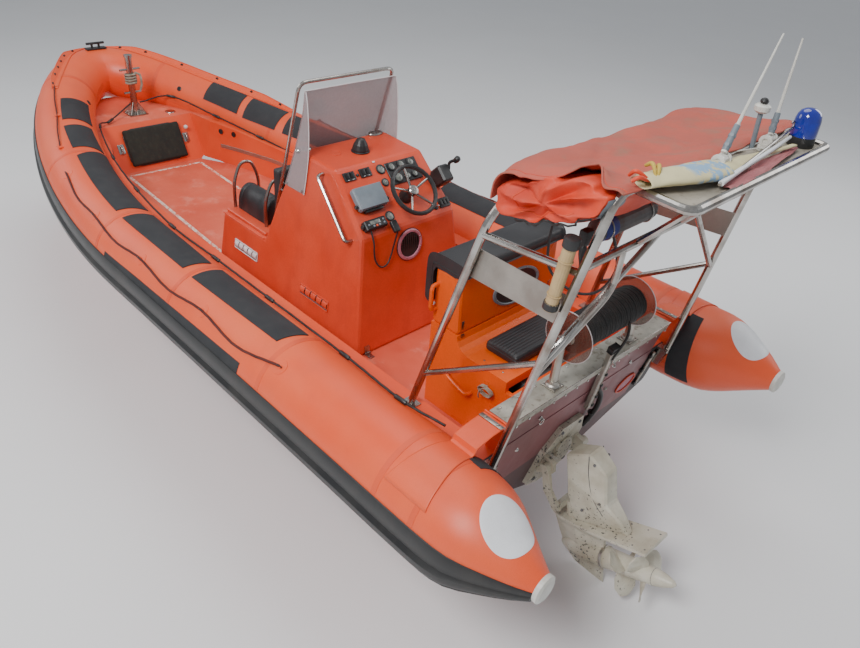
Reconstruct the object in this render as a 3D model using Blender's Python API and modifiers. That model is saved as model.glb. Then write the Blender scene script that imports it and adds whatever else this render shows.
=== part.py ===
import bpy
import bmesh
from math import sin, cos, pi, radians
from mathutils import Vector, Matrix

# Rigid inflatable boat. Every size below is in metres, measured from the top aft edge of the
# transom (y = 0), the cockpit deck (z = 0) and the centre plane (x = 0, starboard positive).
# ORIGIN moves the finished boat so that zero lies on the centre plane at the waterline.
ORIGIN = Vector((0.0, -2.80, 0.10))
GAP = 0.0003

TUBE_X = 1.145
TUBE_Z = 0.258
TUBE_R = 0.278
TUBE_BOW_R = 0.243
TUBE_SIDES = 24
BOW_START = 3.139
BOW_LENGTH = 3.20
BOW_RISE = 0.365
TRANSOM_RAKE = 0.23
TRANSOM_TOP = 0.565

for old in list(bpy.data.objects):
    bpy.data.objects.remove(old, do_unlink=True)

boat = bpy.data.collections.new("rigid_inflatable_boat")
cutters = bpy.data.collections.new("cutters")
bpy.context.scene.collection.children.link(boat)
bpy.context.scene.collection.children.link(cutters)

FINISHES = {
    # name: (colour, roughness, metallic)
    "orange": ((0.85, 0.13, 0.04, 1.0), 0.45, 0.0),
    "fabric": ((0.83, 0.15, 0.05, 1.0), 0.75, 0.0),
    "red": ((0.60, 0.10, 0.07, 1.0), 0.85, 0.0),
    "black": ((0.02, 0.02, 0.02, 1.0), 0.60, 0.0),
    "steel": ((0.55, 0.55, 0.53, 1.0), 0.30, 1.0),
    "white": ((0.80, 0.78, 0.70, 1.0), 0.45, 0.0),
    "grey": ((0.35, 0.38, 0.40, 1.0), 0.55, 0.0),
    "blue": ((0.02, 0.05, 0.50, 1.0), 0.15, 0.0),
    "clear": ((0.60, 0.50, 0.50, 0.4), 0.10, 0.0),
    "tan": ((0.60, 0.42, 0.20, 1.0), 0.60, 0.0),
}


def material(name):
    mat = bpy.data.materials.get(name)
    if mat is None:
        colour, roughness, metallic = FINISHES[name]
        mat = bpy.data.materials.new(name)
        mat.use_nodes = True
        shader = mat.node_tree.nodes["Principled BSDF"]
        shader.inputs["Base Color"].default_value = colour
        shader.inputs["Roughness"].default_value = roughness
        shader.inputs["Metallic"].default_value = metallic
    return mat


def tidy(obj):
    bm = bmesh.new()
    bm.from_mesh(obj.data)
    bmesh.ops.remove_doubles(bm, verts=bm.verts, dist=1e-6)
    bmesh.ops.recalc_face_normals(bm, faces=bm.faces)
    bm.to_mesh(obj.data)
    bm.free()
    return obj


def mesh_object(name, bm, colour):
    bmesh.ops.remove_doubles(bm, verts=bm.verts, dist=1e-5)
    bmesh.ops.recalc_face_normals(bm, faces=bm.faces)
    mesh = bpy.data.meshes.new(name)
    bm.to_mesh(mesh)
    bm.free()
    obj = bpy.data.objects.new(name, mesh)
    mesh.materials.append(material(colour))
    boat.objects.link(obj)
    return obj


def loft(name, rings, colour):
    bm = bmesh.new()
    rows = [[bm.verts.new(p) for p in ring] for ring in rings]
    count = len(rows[0])
    for low, high in zip(rows, rows[1:]):
        for k in range(count):
            n = (k + 1) % count
            bm.faces.new((low[k], low[n], high[n], high[k]))
    bm.faces.new(list(reversed(rows[0])))
    bm.faces.new(rows[-1])
    return mesh_object(name, bm, colour)


def box(name, x, y, z, colour, bevel=0.0, steps=1):
    bm = bmesh.new()
    bmesh.ops.create_cube(bm, size=1.0)
    bmesh.ops.scale(bm, verts=bm.verts, vec=(x[1] - x[0], y[1] - y[0], z[1] - z[0]))
    bmesh.ops.translate(bm, verts=bm.verts, vec=((x[0] + x[1]) / 2, (y[0] + y[1]) / 2, (z[0] + z[1]) / 2))
    obj = mesh_object(name, bm, colour)
    if bevel:
        soften(obj, bevel, steps)
    return obj


def side_prism(name, profile, half, colour):
    # profile: (y, z) round the side view; half: half width as a function of (y, z)
    rings = [[(s * half(y, z), y, z) for y, z in profile] for s in (-1, 1)]
    return loft(name, rings, colour)


def bake(obj):
    graph = bpy.context.evaluated_depsgraph_get()
    mesh = bpy.data.meshes.new_from_object(obj.evaluated_get(graph))
    obj.modifiers.clear()
    obj.data = mesh
    return obj


def soften(obj, width, steps=1, angle=35):
    mod = obj.modifiers.new("soften", "BEVEL")
    mod.width = width
    mod.segments = steps
    mod.limit_method = "ANGLE"
    mod.angle_limit = radians(angle)
    return bake(obj)


def combine(obj, other, operation):
    for group in list(other.users_collection):
        group.objects.unlink(other)
    cutters.objects.link(other)
    other.hide_render = True
    other.display_type = "WIRE"
    mod = obj.modifiers.new("combine", "BOOLEAN")
    mod.operation = operation
    mod.solver = "EXACT"
    mod.object = other
    bake(obj)
    bpy.data.objects.remove(other, do_unlink=True)
    return obj


def cut(obj, *others):
    for other in others:
        combine(obj, other, "DIFFERENCE")
    return obj


def join(obj, *others):
    for other in others:
        combine(obj, other, "UNION")
    return obj


def placed(origin, axis):
    # matrix that stands local Z on the axis, with local X level
    z = Vector(axis).normalized()
    x = z.cross(Vector((0, 0, 1)))
    if x.length < 1e-3:
        x = z.cross(Vector((0, 1, 0)))
    x.normalize()
    turn = Matrix((x, z.cross(x), z)).transposed()
    return Matrix.Translation(Vector(origin)) @ turn.to_4x4()


def rod(name, start, end, radius, colour, sides=12, end_radius=None):
    a, b = Vector(start), Vector(end)
    bm = bmesh.new()
    bmesh.ops.create_cone(bm, cap_ends=True, segments=sides, radius1=radius, depth=(b - a).length,
                          radius2=radius if end_radius is None else end_radius,
                          matrix=placed((a + b) / 2, b - a))
    return mesh_object(name, bm, colour)


def rounded(points, corner, steps=4):
    pts = [Vector(p) for p in points]
    path = [pts[0]]
    for i in range(1, len(pts) - 1):
        back, fore = pts[i - 1] - pts[i], pts[i + 1] - pts[i]
        reach = min(corner, back.length * 0.49, fore.length * 0.49)
        a = pts[i] + back.normalized() * reach
        b = pts[i] + fore.normalized() * reach
        for k in range(steps + 1):
            t = k / steps
            path.append(a * (1 - t) ** 2 + pts[i] * 2 * t * (1 - t) + b * t * t)
    path.append(pts[-1])
    return path


def bent_pipe(name, points, radius, colour, corner=0.08, sides=10, steps=4):
    path = rounded(points, corner, steps)
    curve = bpy.data.curves.new(name, "CURVE")
    curve.dimensions = "3D"
    curve.bevel_depth = radius
    curve.bevel_resolution = (sides - 4) // 2
    curve.use_fill_caps = True
    spline = curve.splines.new("POLY")
    spline.points.add(len(path) - 1)
    for point, place in zip(spline.points, path):
        point.co = (*place, 1.0)
    line = bpy.data.objects.new("line", curve)
    boat.objects.link(line)
    graph = bpy.context.evaluated_depsgraph_get()
    bm = bmesh.new()
    bm.from_mesh(bpy.data.meshes.new_from_object(line.evaluated_get(graph)))
    bpy.data.objects.remove(line, do_unlink=True)
    return mesh_object(name, bm, colour)


def lathe(name, centre, axis, profile, colour, sides=24):
    # profile: (distance along the axis, radius); both ends are closed on the axis
    line = [(profile[0][0], 0.0)] + list(profile) + [(profile[-1][0], 0.0)]
    mesh = bpy.data.meshes.new(name)
    mesh.from_pydata([(r, 0.0, d) for d, r in line], [(k, k + 1) for k in range(len(line) - 1)], [])
    obj = bpy.data.objects.new(name, mesh)
    mesh.materials.append(material(colour))
    boat.objects.link(obj)
    turn = obj.modifiers.new("turn", "SCREW")
    turn.axis = "Z"
    turn.steps = turn.render_steps = sides
    turn.use_merge_vertices = True
    turn.merge_threshold = 1e-5
    turn.use_normal_calculate = True
    bake(obj)
    obj.data.transform(placed(centre, axis))
    return tidy(obj)


# Buoyancy tube: one collar from the port tail round the bow to the starboard tail
TAIL = (
    # x, y, z, radius
    (1.161, -0.592, 0.273, 0.067),
    (1.166, -0.450, 0.274, 0.153),
    (1.160, -0.250, 0.270, 0.254),
    (1.145, -0.050, 0.258, 0.278),
)
STRAIGHT = (0.60, 1.30, 2.00, 2.60, BOW_START)


def half_collar():
    rows = [Vector(r) for r in TAIL]
    rows += [Vector((TUBE_X, y, TUBE_Z, TUBE_R)) for y in STRAIGHT]
    for k in range(1, 14):
        t = pi / 2 * k / 13
        s = sin(t) ** 1.10
        rows.append(Vector((TUBE_X * max(0.0, cos(t)) ** 1.15 if k < 13 else 0.0, BOW_START + BOW_LENGTH * s,
                            TUBE_Z + BOW_RISE * s ** 1.96,
                            TUBE_R + (TUBE_BOW_R - TUBE_R) * s)))
    return rows


def collar():
    star = half_collar()
    port = [Vector((-r[0], r[1], r[2], r[3])) for r in star]
    rows = port + list(reversed(star[:-1]))
    frames = []
    for i, row in enumerate(rows):
        here = row.xyz
        before = (here - rows[i - 1].xyz).normalized() if i else None
        after = (rows[i + 1].xyz - here).normalized() if i < len(rows) - 1 else None
        tangent = ((before or after) + (after or before)).normalized()
        out = Vector((0, 0, 1)).cross(tangent).normalized()
        frames.append((here, row[3], out, tangent.cross(out).normalized(), tangent))
    return frames


FRAMES = collar()


def facet(angle, sides=TUBE_SIDES):
    step = 2 * pi / sides
    return cos(step / 2) / cos((angle % step) - step / 2)


def collar_rings(grow=0.0):
    rings = []
    for c, r, out, up, tangent in FRAMES:
        rings.append([c + (r + grow) * (cos(t) * out + sin(t) * up)
                      for t in (2 * pi * k / TUBE_SIDES for k in range(TUBE_SIDES))])
    return rings


loft("buoyancy_tube", collar_rings(), "fabric")

# Rubbing strake: flat band above, double ridge below
STRAKE = (
    # angle round the tube, thickness
    (15.0, 0.006), (10.0, 0.011), (-5.0, 0.012), (-9.0, 0.034), (-14.0, 0.040), (-19.0, 0.034),
    (-21.5, 0.020), (-24.0, 0.030), (-29.0, 0.024), (-33.0, 0.006),
)
STRAKE_INNER = (-33.0, -30.0, -15.0, 0.0, 15.0)
rings = []
for c, r, out, up, tangent in FRAMES:
    slim = min(1.0, 0.40 + 0.60 * (r - 0.067) / 0.211)
    ring = []
    for deg, thick in STRAKE:
        t = radians(deg)
        ring.append(c + (r * facet(t) + 0.0016 + thick * slim) * (cos(t) * out + sin(t) * up))
    for deg in STRAKE_INNER:
        t = radians(deg)
        ring.append(c + (r * facet(t) + 0.0008) * (cos(t) * out + sin(t) * up))
    rings.append(ring)
loft("rubbing_strake", rings, "black")

for label, index in (("port", 0), ("starboard", -1)):
    c, r, out, up, tangent = FRAMES[index]
    aft = -tangent if index == 0 else tangent
    lathe("tail_cap_" + label, c + aft * GAP, aft,
          ((0.0, r + 0.004), (0.022, r + 0.004), (0.030, r - 0.012)), "white")

# Hull shell: V bottom, raked transom, liner and deck in one moulding
SECTIONS = (
    # y, keel z, chine x, chine z, side top x, side top z
    (0.00, -0.50, 0.93, -0.06, 0.93, 0.33),
    (0.80, -0.50, 0.93, -0.06, 0.93, 0.33),
    (2.50, -0.50, 0.93, -0.06, 0.93, 0.33),
    (3.60, -0.48, 0.93, -0.05, 0.92, 0.33),
    (4.30, -0.42, 0.86, 0.00, 0.87, 0.34),
    (4.80, -0.33, 0.74, 0.07, 0.79, 0.38),
    (5.16, -0.22, 0.62, 0.125, 0.685, 0.41),
    (5.55, -0.04, 0.43, 0.20, 0.52, 0.41),
    (5.80, 0.09, 0.30, 0.26, 0.40, 0.41),
    (6.02, 0.24, 0.15, 0.33, 0.23, 0.41),
    (6.17, 0.34, 0.04, 0.37, 0.07, 0.41),
)
rings = []
for y, keel, cx, cz, sx, sz in SECTIONS:
    half = [(0.012, keel), (cx * 0.52, keel * 0.45 + cz * 0.55 - 0.015), (cx, cz), (cx + 0.012, cz + 0.02),
            (sx, sz)]
    ring = [(-x, z) for x, z in half] + [(x, z) for x, z in reversed(half)]
    rings.append([(x, y + (TRANSOM_RAKE * (TRANSOM_TOP - z) if y == 0 else 0.0), z) for x, z in ring])
hull = loft("hull", rings, "orange")

RAKE_LOW = TRANSOM_RAKE * (TRANSOM_TOP - 0.02)
board = side_prism("board", ((0.004, TRANSOM_TOP - 0.004), (RAKE_LOW + 0.004, 0.02), (0.50, -0.1),
                             (0.50, 0.02), (0.130, 0.02), (0.130, TRANSOM_TOP - 0.004)),
                   lambda y, z: 0.745, "orange")
join(hull, board)
cut(hull, loft("tube_room", collar_rings(0.0009), "black"))

WELL = (
    # y, half width
    (0.132, 0.748), (3.90, 0.748), (4.30, 0.71), (4.70, 0.62), (4.95, 0.54), (5.12, 0.46),
)
rings = []
for z, lean in ((0.0, 0.0), (0.70, 0.70 * 0.22 / 0.41)):
    side = [(w, y + (lean if y > 5.1 else 0.0)) for y, w in WELL]
    rings.append([(-x, y, z) for x, y in side] + [(x, y, z) for x, y in reversed(side)])
cut(hull, loft("well", rings, "black"), box("locker", (-0.20, 0.20), (5.00, 5.39), (0.165, 0.325), "black"))

# Transom capping, folded over the aft face
cap = side_prism("transom_capping", ((-0.004, TRANSOM_TOP - 0.06), (-0.006, TRANSOM_TOP - 0.0035),
                                     (0.134, TRANSOM_TOP - 0.0035), (0.134, TRANSOM_TOP),
                                     (-0.0095, TRANSOM_TOP), (-0.0075, TRANSOM_TOP - 0.06)),
                 lambda y, z: 0.749, "steel")
for p in cap.data.vertices:
    if p.co.z < TRANSOM_TOP - 0.05:
        p.co.y += TRANSOM_RAKE * 0.06

# Console with the forward seat box, one moulding
CONSOLE = ((1.458, GAP), (1.559, 0.809), (1.885, 1.140), (2.270, 1.155), (2.440, 0.800),
           (2.590, 0.405), (3.150, 0.405), (3.190, GAP))


def console_half(y, z):
    return 0.505 - 0.12 * z


console = side_prism("console", CONSOLE, console_half, "orange")
soften(console, 0.022, 2)
cut(console, box("locker", (-0.38, 0.38), (2.68, 3.08), (0.06, 0.60), "black"))


def console_room():
    # the console's own outline, a little larger, to end what is fixed to it
    line = [(2.3 + (y - 2.3) * 1.0008, 0.5 + (z - 0.5) * 1.0012) for y, z in CONSOLE]
    return side_prism("console_room", line, lambda y, z: console_half(y, z) + 0.0005, "black")


lid = box("forward_seat_lid", (-0.435, 0.435), (2.615, 3.135), (0.4055, 0.432), "orange", 0.006)

# Forward saddle cushion between two hoops: half round, running fore and aft
SADDLE_X = -0.2625
rings = []
for y, r in ((2.7112, 0.085), (2.730, 0.0965), (3.090, 0.0965), (3.1068, 0.085)):
    rings.append([(SADDLE_X + r * cos(t), y, 0.4325 + 1.95 * r * sin(t) ** 0.7)
                  for t in (pi * k / 10 for k in range(11))])
loft("forward_cushion", rings, "black")

for label, y in (("forward", 3.120), ("aft", 2.698)):
    half = ((-0.107, 0.4325), (-0.107, 0.64), (-0.045, 0.775))
    line = [(SADDLE_X + x, y, z) for x, z in half] + [(SADDLE_X - x, y, z) for x, z in reversed(half)]
    bent_pipe("seat_hoop_" + label, line, 0.0125, "steel", 0.09, 10)

back = loft("forward_backrest", [
    [(SADDLE_X + x, y, z) for y, z in ((2.5180, 0.600), (2.600, 0.610), (2.600, 0.900), (2.585, 0.930),
                                       (2.535, 0.930), (2.5180, 0.900))]
    for x in (-0.107, 0.107)], "black")
soften(back, 0.014, 2)
for x in (-0.06, 0.06):
    join(back, rod("stay", (SADDLE_X + x, 2.400, 0.830), (SADDLE_X + x, 2.540, 0.830), 0.012, "steel", 10))
cut(back, console_room())

# Windscreen: clear sheet bent round the console front
SHEET = (
    # z, aft edge y, front y, half width
    (0.890, 2.165, 2.411, 0.4056), (1.000, 2.155, 2.375, 0.3931), (1.155, 2.145, 2.325, 0.3791),
    (1.300, 2.143, 2.278, 0.3751), (1.430, 2.150, 2.236, 0.3731), (1.510, 2.160, 2.211, 0.3721),
    (1.560, 2.172, 2.197, 0.3711),
)
THICK = 0.005


def sheet_row(aft, front, half, z):
    bend = min(0.04, max(0.001, (front - aft) * 0.45))
    row = [(half, aft, z), (half, (aft + front - bend) / 2, z), (half, front - bend, z),
           (half - 0.3 * bend, front - 0.3 * bend, z), (half - bend, front, z)]
    return [(-x, y, h) for x, y, h in row] + [(0.0, front, z)] + list(reversed(row))


def skin(name, rows, thickness, colour):
    # open sheet through the rows of points, thickened away from its outer face
    bm = bmesh.new()
    grid = [[bm.verts.new(p) for p in row] for row in rows]
    for low, high in zip(grid, grid[1:]):
        for k in range(len(low) - 1):
            bm.faces.new((low[k], low[k + 1], high[k + 1], high[k]))
    obj = mesh_object(name, bm, colour)
    shell = obj.modifiers.new("shell", "SOLIDIFY")
    shell.thickness = thickness
    shell.offset = -1.0
    shell.use_even_offset = True
    bake(obj)
    return tidy(obj)


skin("windscreen", [sheet_row(a, f, h, z) for z, a, f, h in SHEET], THICK, "clear")

frame = bent_pipe("windscreen_frame",
                  ((-0.385, 2.545, 0.575), (-0.385, 2.220, 1.605), (0.385, 2.220, 1.605),
                   (0.385, 2.545, 0.575)), 0.0125, "steel", 0.06, 10)
for s in (-1, 1):
    for z in (0.60, 0.82):
        y = 2.220 + (1.605 - z) * 0.3155
        join(frame, rod("stub", (s * 0.385, y, z), (s * 0.385, y - 0.06, z), 0.009, "steel", 8))
cut(frame, console_room())

# Console fittings
lathe("compass", (-0.02, 2.06, 1.1474), (0, -0.039, 1),
      ((0.0, 0.055), (0.02, 0.056), (0.05, 0.047), (0.085, 0.028), (0.092, 0.012)), "black", 16)

DASH = Vector((0.0, 0.326, 0.331)).normalized()
DASH_OUT = Vector((0.0, -0.331, 0.326)).normalized()


def on_dash(x, up, out):
    return Vector((x, 1.559, 0.809)) + DASH * up + DASH_OUT * out


def dash_block(name, x, up, out, colour, bevel=0.0):
    rings = [[on_dash(x[0], up[0], h), on_dash(x[1], up[0], h), on_dash(x[1], up[1], h),
              on_dash(x[0], up[1], h)] for h in out]
    obj = loft(name, rings, colour)
    if bevel:
        soften(obj, bevel, 1)
    return obj


dash_block("chartplotter", (-0.345, -0.120), (0.165, 0.315), (0.0004, 0.055), "grey", 0.012)
dash_block("radio", (-0.365, -0.195), (0.035, 0.100), (0.0004, 0.045), "black", 0.006)
dash_block("gauge_cluster", (0.010, 0.275), (0.275, 0.430), (0.0004, 0.010), "black", 0.002)

throttle = dash_block("throttle_control", (0.330, 0.425), (0.170, 0.290), (0.012, 0.125), "black", 0.012)
join(throttle, dash_block("foot", (0.340, 0.375), (0.185, 0.275), (0.0006, 0.03), "black"))
join(throttle, bent_pipe("lever", (on_dash(0.400, 0.240, 0.075), on_dash(0.445, 0.242, 0.075),
                                   on_dash(0.456, 0.294, 0.104), on_dash(0.472, 0.280, 0.170)),
                         0.011, "black", 0.02, 8))
join(throttle, rod("axle", on_dash(0.39, 0.240, 0.075), on_dash(0.440, 0.240, 0.075), 0.02, "black"))

# Steering wheel on its column
WHEEL = on_dash(0.060, 0.180, 0.115)
WHEEL_R = 0.165
side, up = Vector((1, 0, 0)), DASH
bm = bmesh.new()
rows = []
for i in range(28):
    a = 2 * pi * i / 28
    radial = cos(a) * side + sin(a) * up
    rows.append([bm.verts.new(WHEEL + radial * (WHEEL_R + 0.015 * cos(b)) + DASH_OUT * 0.015 * sin(b))
                 for b in (2 * pi * k / 8 for k in range(8))])
for i in range(28):
    low, high = rows[i], rows[(i + 1) % 28]
    for k in range(8):
        bm.faces.new((low[k], low[(k + 1) % 8], high[(k + 1) % 8], high[k]))
wheel = mesh_object("steering_wheel", bm, "black")
join(wheel, lathe("hub", WHEEL - DASH_OUT * 0.05, DASH_OUT, ((0.0, 0.030), (0.030, 0.034), (0.044, 0.022)),
                  "black", 16))
for k in range(5):
    a = pi / 2 + 2 * pi * k / 5
    radial = cos(a) * side + sin(a) * up
    join(wheel, rod("spoke", WHEEL - DASH_OUT * 0.026, WHEEL + radial * (WHEEL_R - 0.002), 0.0075, "steel", 6))
lathe("steering_column", on_dash(0.060, 0.180, 0.0006), DASH_OUT,
      ((0.0, 0.048), (0.028, 0.042), (0.064, 0.030)), "black", 16)

rail = bent_pipe("console_rail", ((-0.355, 1.992, 1.090), (-0.425, 1.992, 1.090), (-0.465, 1.650, 0.770),
                                  (-0.4000, 1.650, 0.770)), 0.0125, "steel", 0.03, 10)
cut(rail, console_room())

# Engine box, open inside under the bench
BOX_HALF = 0.430
profile = [(0.134, GAP), (0.150, 0.420), (0.285, 0.420), (0.285, 0.490), (0.585, 0.490)]
for k in range(1, 5):
    t = pi / 2 * k / 4
    profile.append((0.585 + 0.09 * sin(t), 0.580 - 0.09 * cos(t)))
profile += [(0.885, 0.580), (0.885, GAP)]
engine_box = side_prism("engine_box", profile, lambda y, z: BOX_HALF, "orange")
cut(engine_box, side_prism("room", ((0.19, 0.030), (0.19, 0.385), (0.32, 0.455), (0.640, 0.455), (0.700, 0.540),
                                    (0.700, 0.650), (0.855, 0.650), (0.855, 0.030)),
                           lambda y, z: BOX_HALF - 0.03, "black"))
box("engine", (-0.27, 0.27), (0.24, 0.80), (0.0305, 0.40), "grey")

bench = side_prism("helm_bench", ((0.676, 0.5805), (0.690, 0.945), (0.885, 0.945), (0.885, 0.5805)),
                   lambda y, z: BOX_HALF, "orange")
soften(bench, 0.02, 2)
cut(bench, box("inside", (-0.39, 0.39), (0.715, 0.855), (0.50, 0.90), "black"))
for s in (-1, 1):
    join(bench, bent_pipe("handle", ((s * 0.425, 0.86, 0.84), (s * 0.475, 0.86, 0.84), (s * 0.475, 0.86, 0.68),
                                     (s * 0.425, 0.86, 0.68)), 0.013, "orange", 0.03, 8, 2))

helm = side_prism("helm_cushion", ((0.672, 0.9455), (0.672, 1.005), (0.690, 1.018), (0.895, 1.018),
                                   (0.925, 0.995), (0.930, 0.720), (0.8855, 0.720), (0.8855, 0.9455)),
                  lambda y, z: BOX_HALF + 0.008, "black")
soften(helm, 0.010, 1, 60)

aft = side_prism("aft_cushion", ((0.335, 0.4905), (0.335, 0.545), (0.350, 0.560), (0.560, 0.560),
                                 (0.575, 0.545), (0.575, 0.4905)), lambda y, z: 0.300, "black")
soften(aft, 0.012, 1, 60)

# Arch: two side frames joined by two hoops and a cross bar
LEG = 0.021
SIDE_DECK = 0.33
CROSS_Y, CROSS_Z = -0.213, 1.528


def aft_leg(z):
    return (0.800 - 0.086 * (z - 0.777), -0.078 - 0.174 * (z - 0.777), z)


def fore_leg(z):
    return (0.822 - 0.114 * (z - SIDE_DECK), 0.618 - 0.228 * (z - SIDE_DECK), z)


def both(points):
    return [(-x, y, z) for x, y, z in points]


def hoop(points):
    port = both(points)
    return port + list(reversed(points))


AFT_HOOP = hoop([aft_leg(0.30), (0.704, -0.268, 1.868), (0.55, -0.282, 1.868)])
arch = bent_pipe("arch", AFT_HOOP, LEG, "steel", 0.12, 12, 5)
join(arch, bent_pipe("fore", hoop([fore_leg(SIDE_DECK + 0.008), fore_leg(1.52), (0.60, 0.300, 1.650),
                                   (0.50, 0.300, 1.650)]), LEG, "steel", 0.10, 12, 5))
for s in (-1, 1):
    def m(p):
        return (s * p[0], p[1], p[2])
    foot = fore_leg(SIDE_DECK)
    join(arch, box("foot", (s * foot[0] - 0.040, s * foot[0] + 0.040), (foot[1] - 0.045, foot[1] + 0.045),
                   (SIDE_DECK + 0.0004, SIDE_DECK + 0.009), "steel"))
    shoe = [(-0.016, 0.330), (TRANSOM_RAKE * 0.235 - 0.0006, 0.330), (TRANSOM_RAKE * 0.365 - 0.0006, 0.200),
            (0.020, 0.200)]
    join(arch, loft("shoe", [[(s * x, y, z) for y, z in shoe] for x in (0.805, 0.855)], "steel"))
    join(arch, rod("bar", m(fore_leg(1.43)), m(aft_leg(1.50)), 0.018, "steel", 10))
    join(arch, rod("brace", m(fore_leg(0.56)), m(aft_leg(1.02)), 0.016, "steel", 10))
    join(arch, rod("knee", m(aft_leg(1.00)), (s * 0.17, CROSS_Y, CROSS_Z), 0.016, "steel", 10))
join(arch, bent_pipe("stay", both([aft_leg(0.94), (0.44, -0.20, 1.315), (0.455, CROSS_Y, CROSS_Z)]), 0.016, "steel",
                     0.08, 10, 4))
join(arch, rod("cross", both([aft_leg(CROSS_Z)])[0], aft_leg(CROSS_Z), 0.019, "steel", 10))

# Overhead platform with a rolled edge, carried by the arch
PLAT = ((0.610, -0.315), (0.630, -0.530), (-0.630, -0.530), (-0.610, -0.315))
plate = loft("arch_platform", [[(x, y, z) for x, y in PLAT] for z in (1.862, 1.870)], "steel")
edge = bent_pipe("edge", ((0.610, -0.285, 1.868), (0.630, -0.530, 1.868), (-0.630, -0.530, 1.868),
                          (-0.610, -0.285, 1.868)), 0.020, "steel", 0.05, 10, 4)
join(plate, edge)
for x in (-0.36, 0.0, 0.30):
    join(plate, rod("strut", (x, -0.505, 1.866), (x, CROSS_Y, CROSS_Z), 0.013, "steel", 8))
cut(plate, bent_pipe("hoop_room", AFT_HOOP, LEG + 0.0005, "steel", 0.12, 12, 5),
    rod("cross_room", (-0.70, CROSS_Y, CROSS_Z), (0.70, CROSS_Y, CROSS_Z), 0.0195, "steel", 10))

for s, label in ((-1, "port"), (1, "starboard")):
    corners = (fore_leg(1.346), aft_leg(1.370), aft_leg(1.220), fore_leg(1.192))
    rings = [[(s * (p[0] - LEG - x), p[1], p[2]) for p in corners] for x in (0.0015, 0.0045)]
    loft("arch_plate_" + label, rings, "steel")

# Weather cover over the hoops, righting bag packed under it
COVER = (
    # x, height of the crown
    (-0.750, 1.815), (-0.660, 1.848), (-0.450, 1.862), (0.000, 1.848), (0.450, 1.838), (0.700, 1.852),
    (0.770, 1.845),
)


def cover_line(top, inset=0.0):
    line = [(0.300, top - 0.160), (0.292, top - 0.085), (0.235, top - 0.022), (0.10, top), (-0.10, top + 0.005),
            (-0.268, 1.8954), (-0.305, 1.8954)]
    return [(y - (inset if y > 0.29 else 0.0), z - inset) for y, z in line]


loft("weather_cover", [[(x, y, z) for y, z in cover_line(top) + list(reversed(cover_line(top, 0.006)))]
                       for x, top in COVER], "red")

BAG = (
    # x, share of the full section
    (-0.72, 0.80), (-0.66, 1.0), (-0.45, 1.0), (0.0, 1.0), (0.45, 1.0), (0.67, 1.0), (0.72, 0.80),
)
rings = []
for x, share in BAG:
    (xa, ta), (xb, tb) = [pair for pair in zip(COVER, COVER[1:]) if pair[0][0] <= x <= pair[1][0]][0]
    roof = cover_line(ta + (tb - ta) * (x - xa) / (xb - xa), 0.0105)[1:5]
    line = [(-0.245, 1.855), (-0.245, 1.780), (-0.15, 1.660), (0.0, 1.610), (0.15, 1.590), (0.236, 1.588),
            (0.2791, 1.615), (0.2791, 1.700)] + roof
    rings.append([(x, 0.05 + (y - 0.05) * share, 1.75 + (z - 1.75) * share) for y, z in line])
loft("righting_bag", rings, "fabric")

lathe("gas_cylinder", (-0.42, -0.105, 1.5915), (1, 0, 0),
      ((-0.20, 0.018), (-0.13, 0.022), (-0.10, 0.050), (0.30, 0.050), (0.34, 0.030)), "black", 16)

# Fittings on the platform
lathe("beacon", (0.518, -0.440, 1.8705), (0, 0, 1),
      ((0.0, 0.054), (0.045, 0.052), (0.046, 0.057), (0.12, 0.0555), (0.155, 0.040), (0.170, 0.016)),
      "blue", 20)
ANTENNAS = (
    # name, foot x, foot y, tip dx, tip dy, tip dz
    ("antenna_port", -0.158, -0.385, 0.283, 0.025, 0.426),
    ("antenna_starboard", 0.278, -0.385, 0.080, 0.030, 0.390),
)
for name, x, y, dx, dy, dz in ANTENNAS:
    base = box(name + "_mount", (x - 0.035, x + 0.035), (y - 0.030, y + 0.030), (1.8705, 1.905), "white", 0.006)
    join(base, rod("pivot", (x - 0.022, y, 1.920), (x + 0.022, y, 1.920), 0.026, "white", 12))
    foot = Vector((x, y, 1.9466 + 0.013 * Vector((dx, dy)).length / Vector((dx, dy, dz)).length))
    tip = foot + Vector((dx, dy, dz))
    whip = rod(name, foot, foot.lerp(tip, 0.24), 0.013, "white", 10, 0.011)
    join(whip, rod("rod", foot.lerp(tip, 0.22), tip, 0.008, "white", 8, 0.004))
mast = rod("gps_mast", (0.263, -0.328, 1.8712), (0.260, -0.320, 2.035), 0.011, "grey", 10)
join(mast, lathe("cap", (0.260, -0.320, 2.028), (0, 0, 1), ((0.0, 0.016), (0.018, 0.032), (0.030, 0.028),
                                                         (0.040, 0.010)), "white", 14))

# Tow reel on two posts over the transom
REEL_Y, REEL_Z = 0.060, 0.850
REEL = lathe("tow_reel", (0.02, REEL_Y, REEL_Z), (1, 0, 0),
             ((-0.300, 0.145), (-0.294, 0.145), (-0.2935, 0.095), (0.2935, 0.095), (0.294, 0.145),
              (0.300, 0.145)), "black", 28)
cut(REEL, lathe("bore", (0.02, REEL_Y, REEL_Z), (1, 0, 0), ((-0.4, 0.0168), (0.4, 0.0168)), "black", 16))
stand = rod("reel_stand", (-0.345, REEL_Y, REEL_Z), (0.385, REEL_Y, REEL_Z), 0.016, "steel", 12)
for x in (-0.335, 0.375):
    join(stand, rod("post", (x, REEL_Y, TRANSOM_TOP + 0.0004), (x, REEL_Y, REEL_Z + 0.024), 0.024, "steel", 12))
    join(stand, box("foot", (x - 0.045, x + 0.045), (REEL_Y - 0.045, REEL_Y + 0.045),
                    (TRANSOM_TOP + 0.0004, TRANSOM_TOP + 0.007), "steel"))

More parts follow.
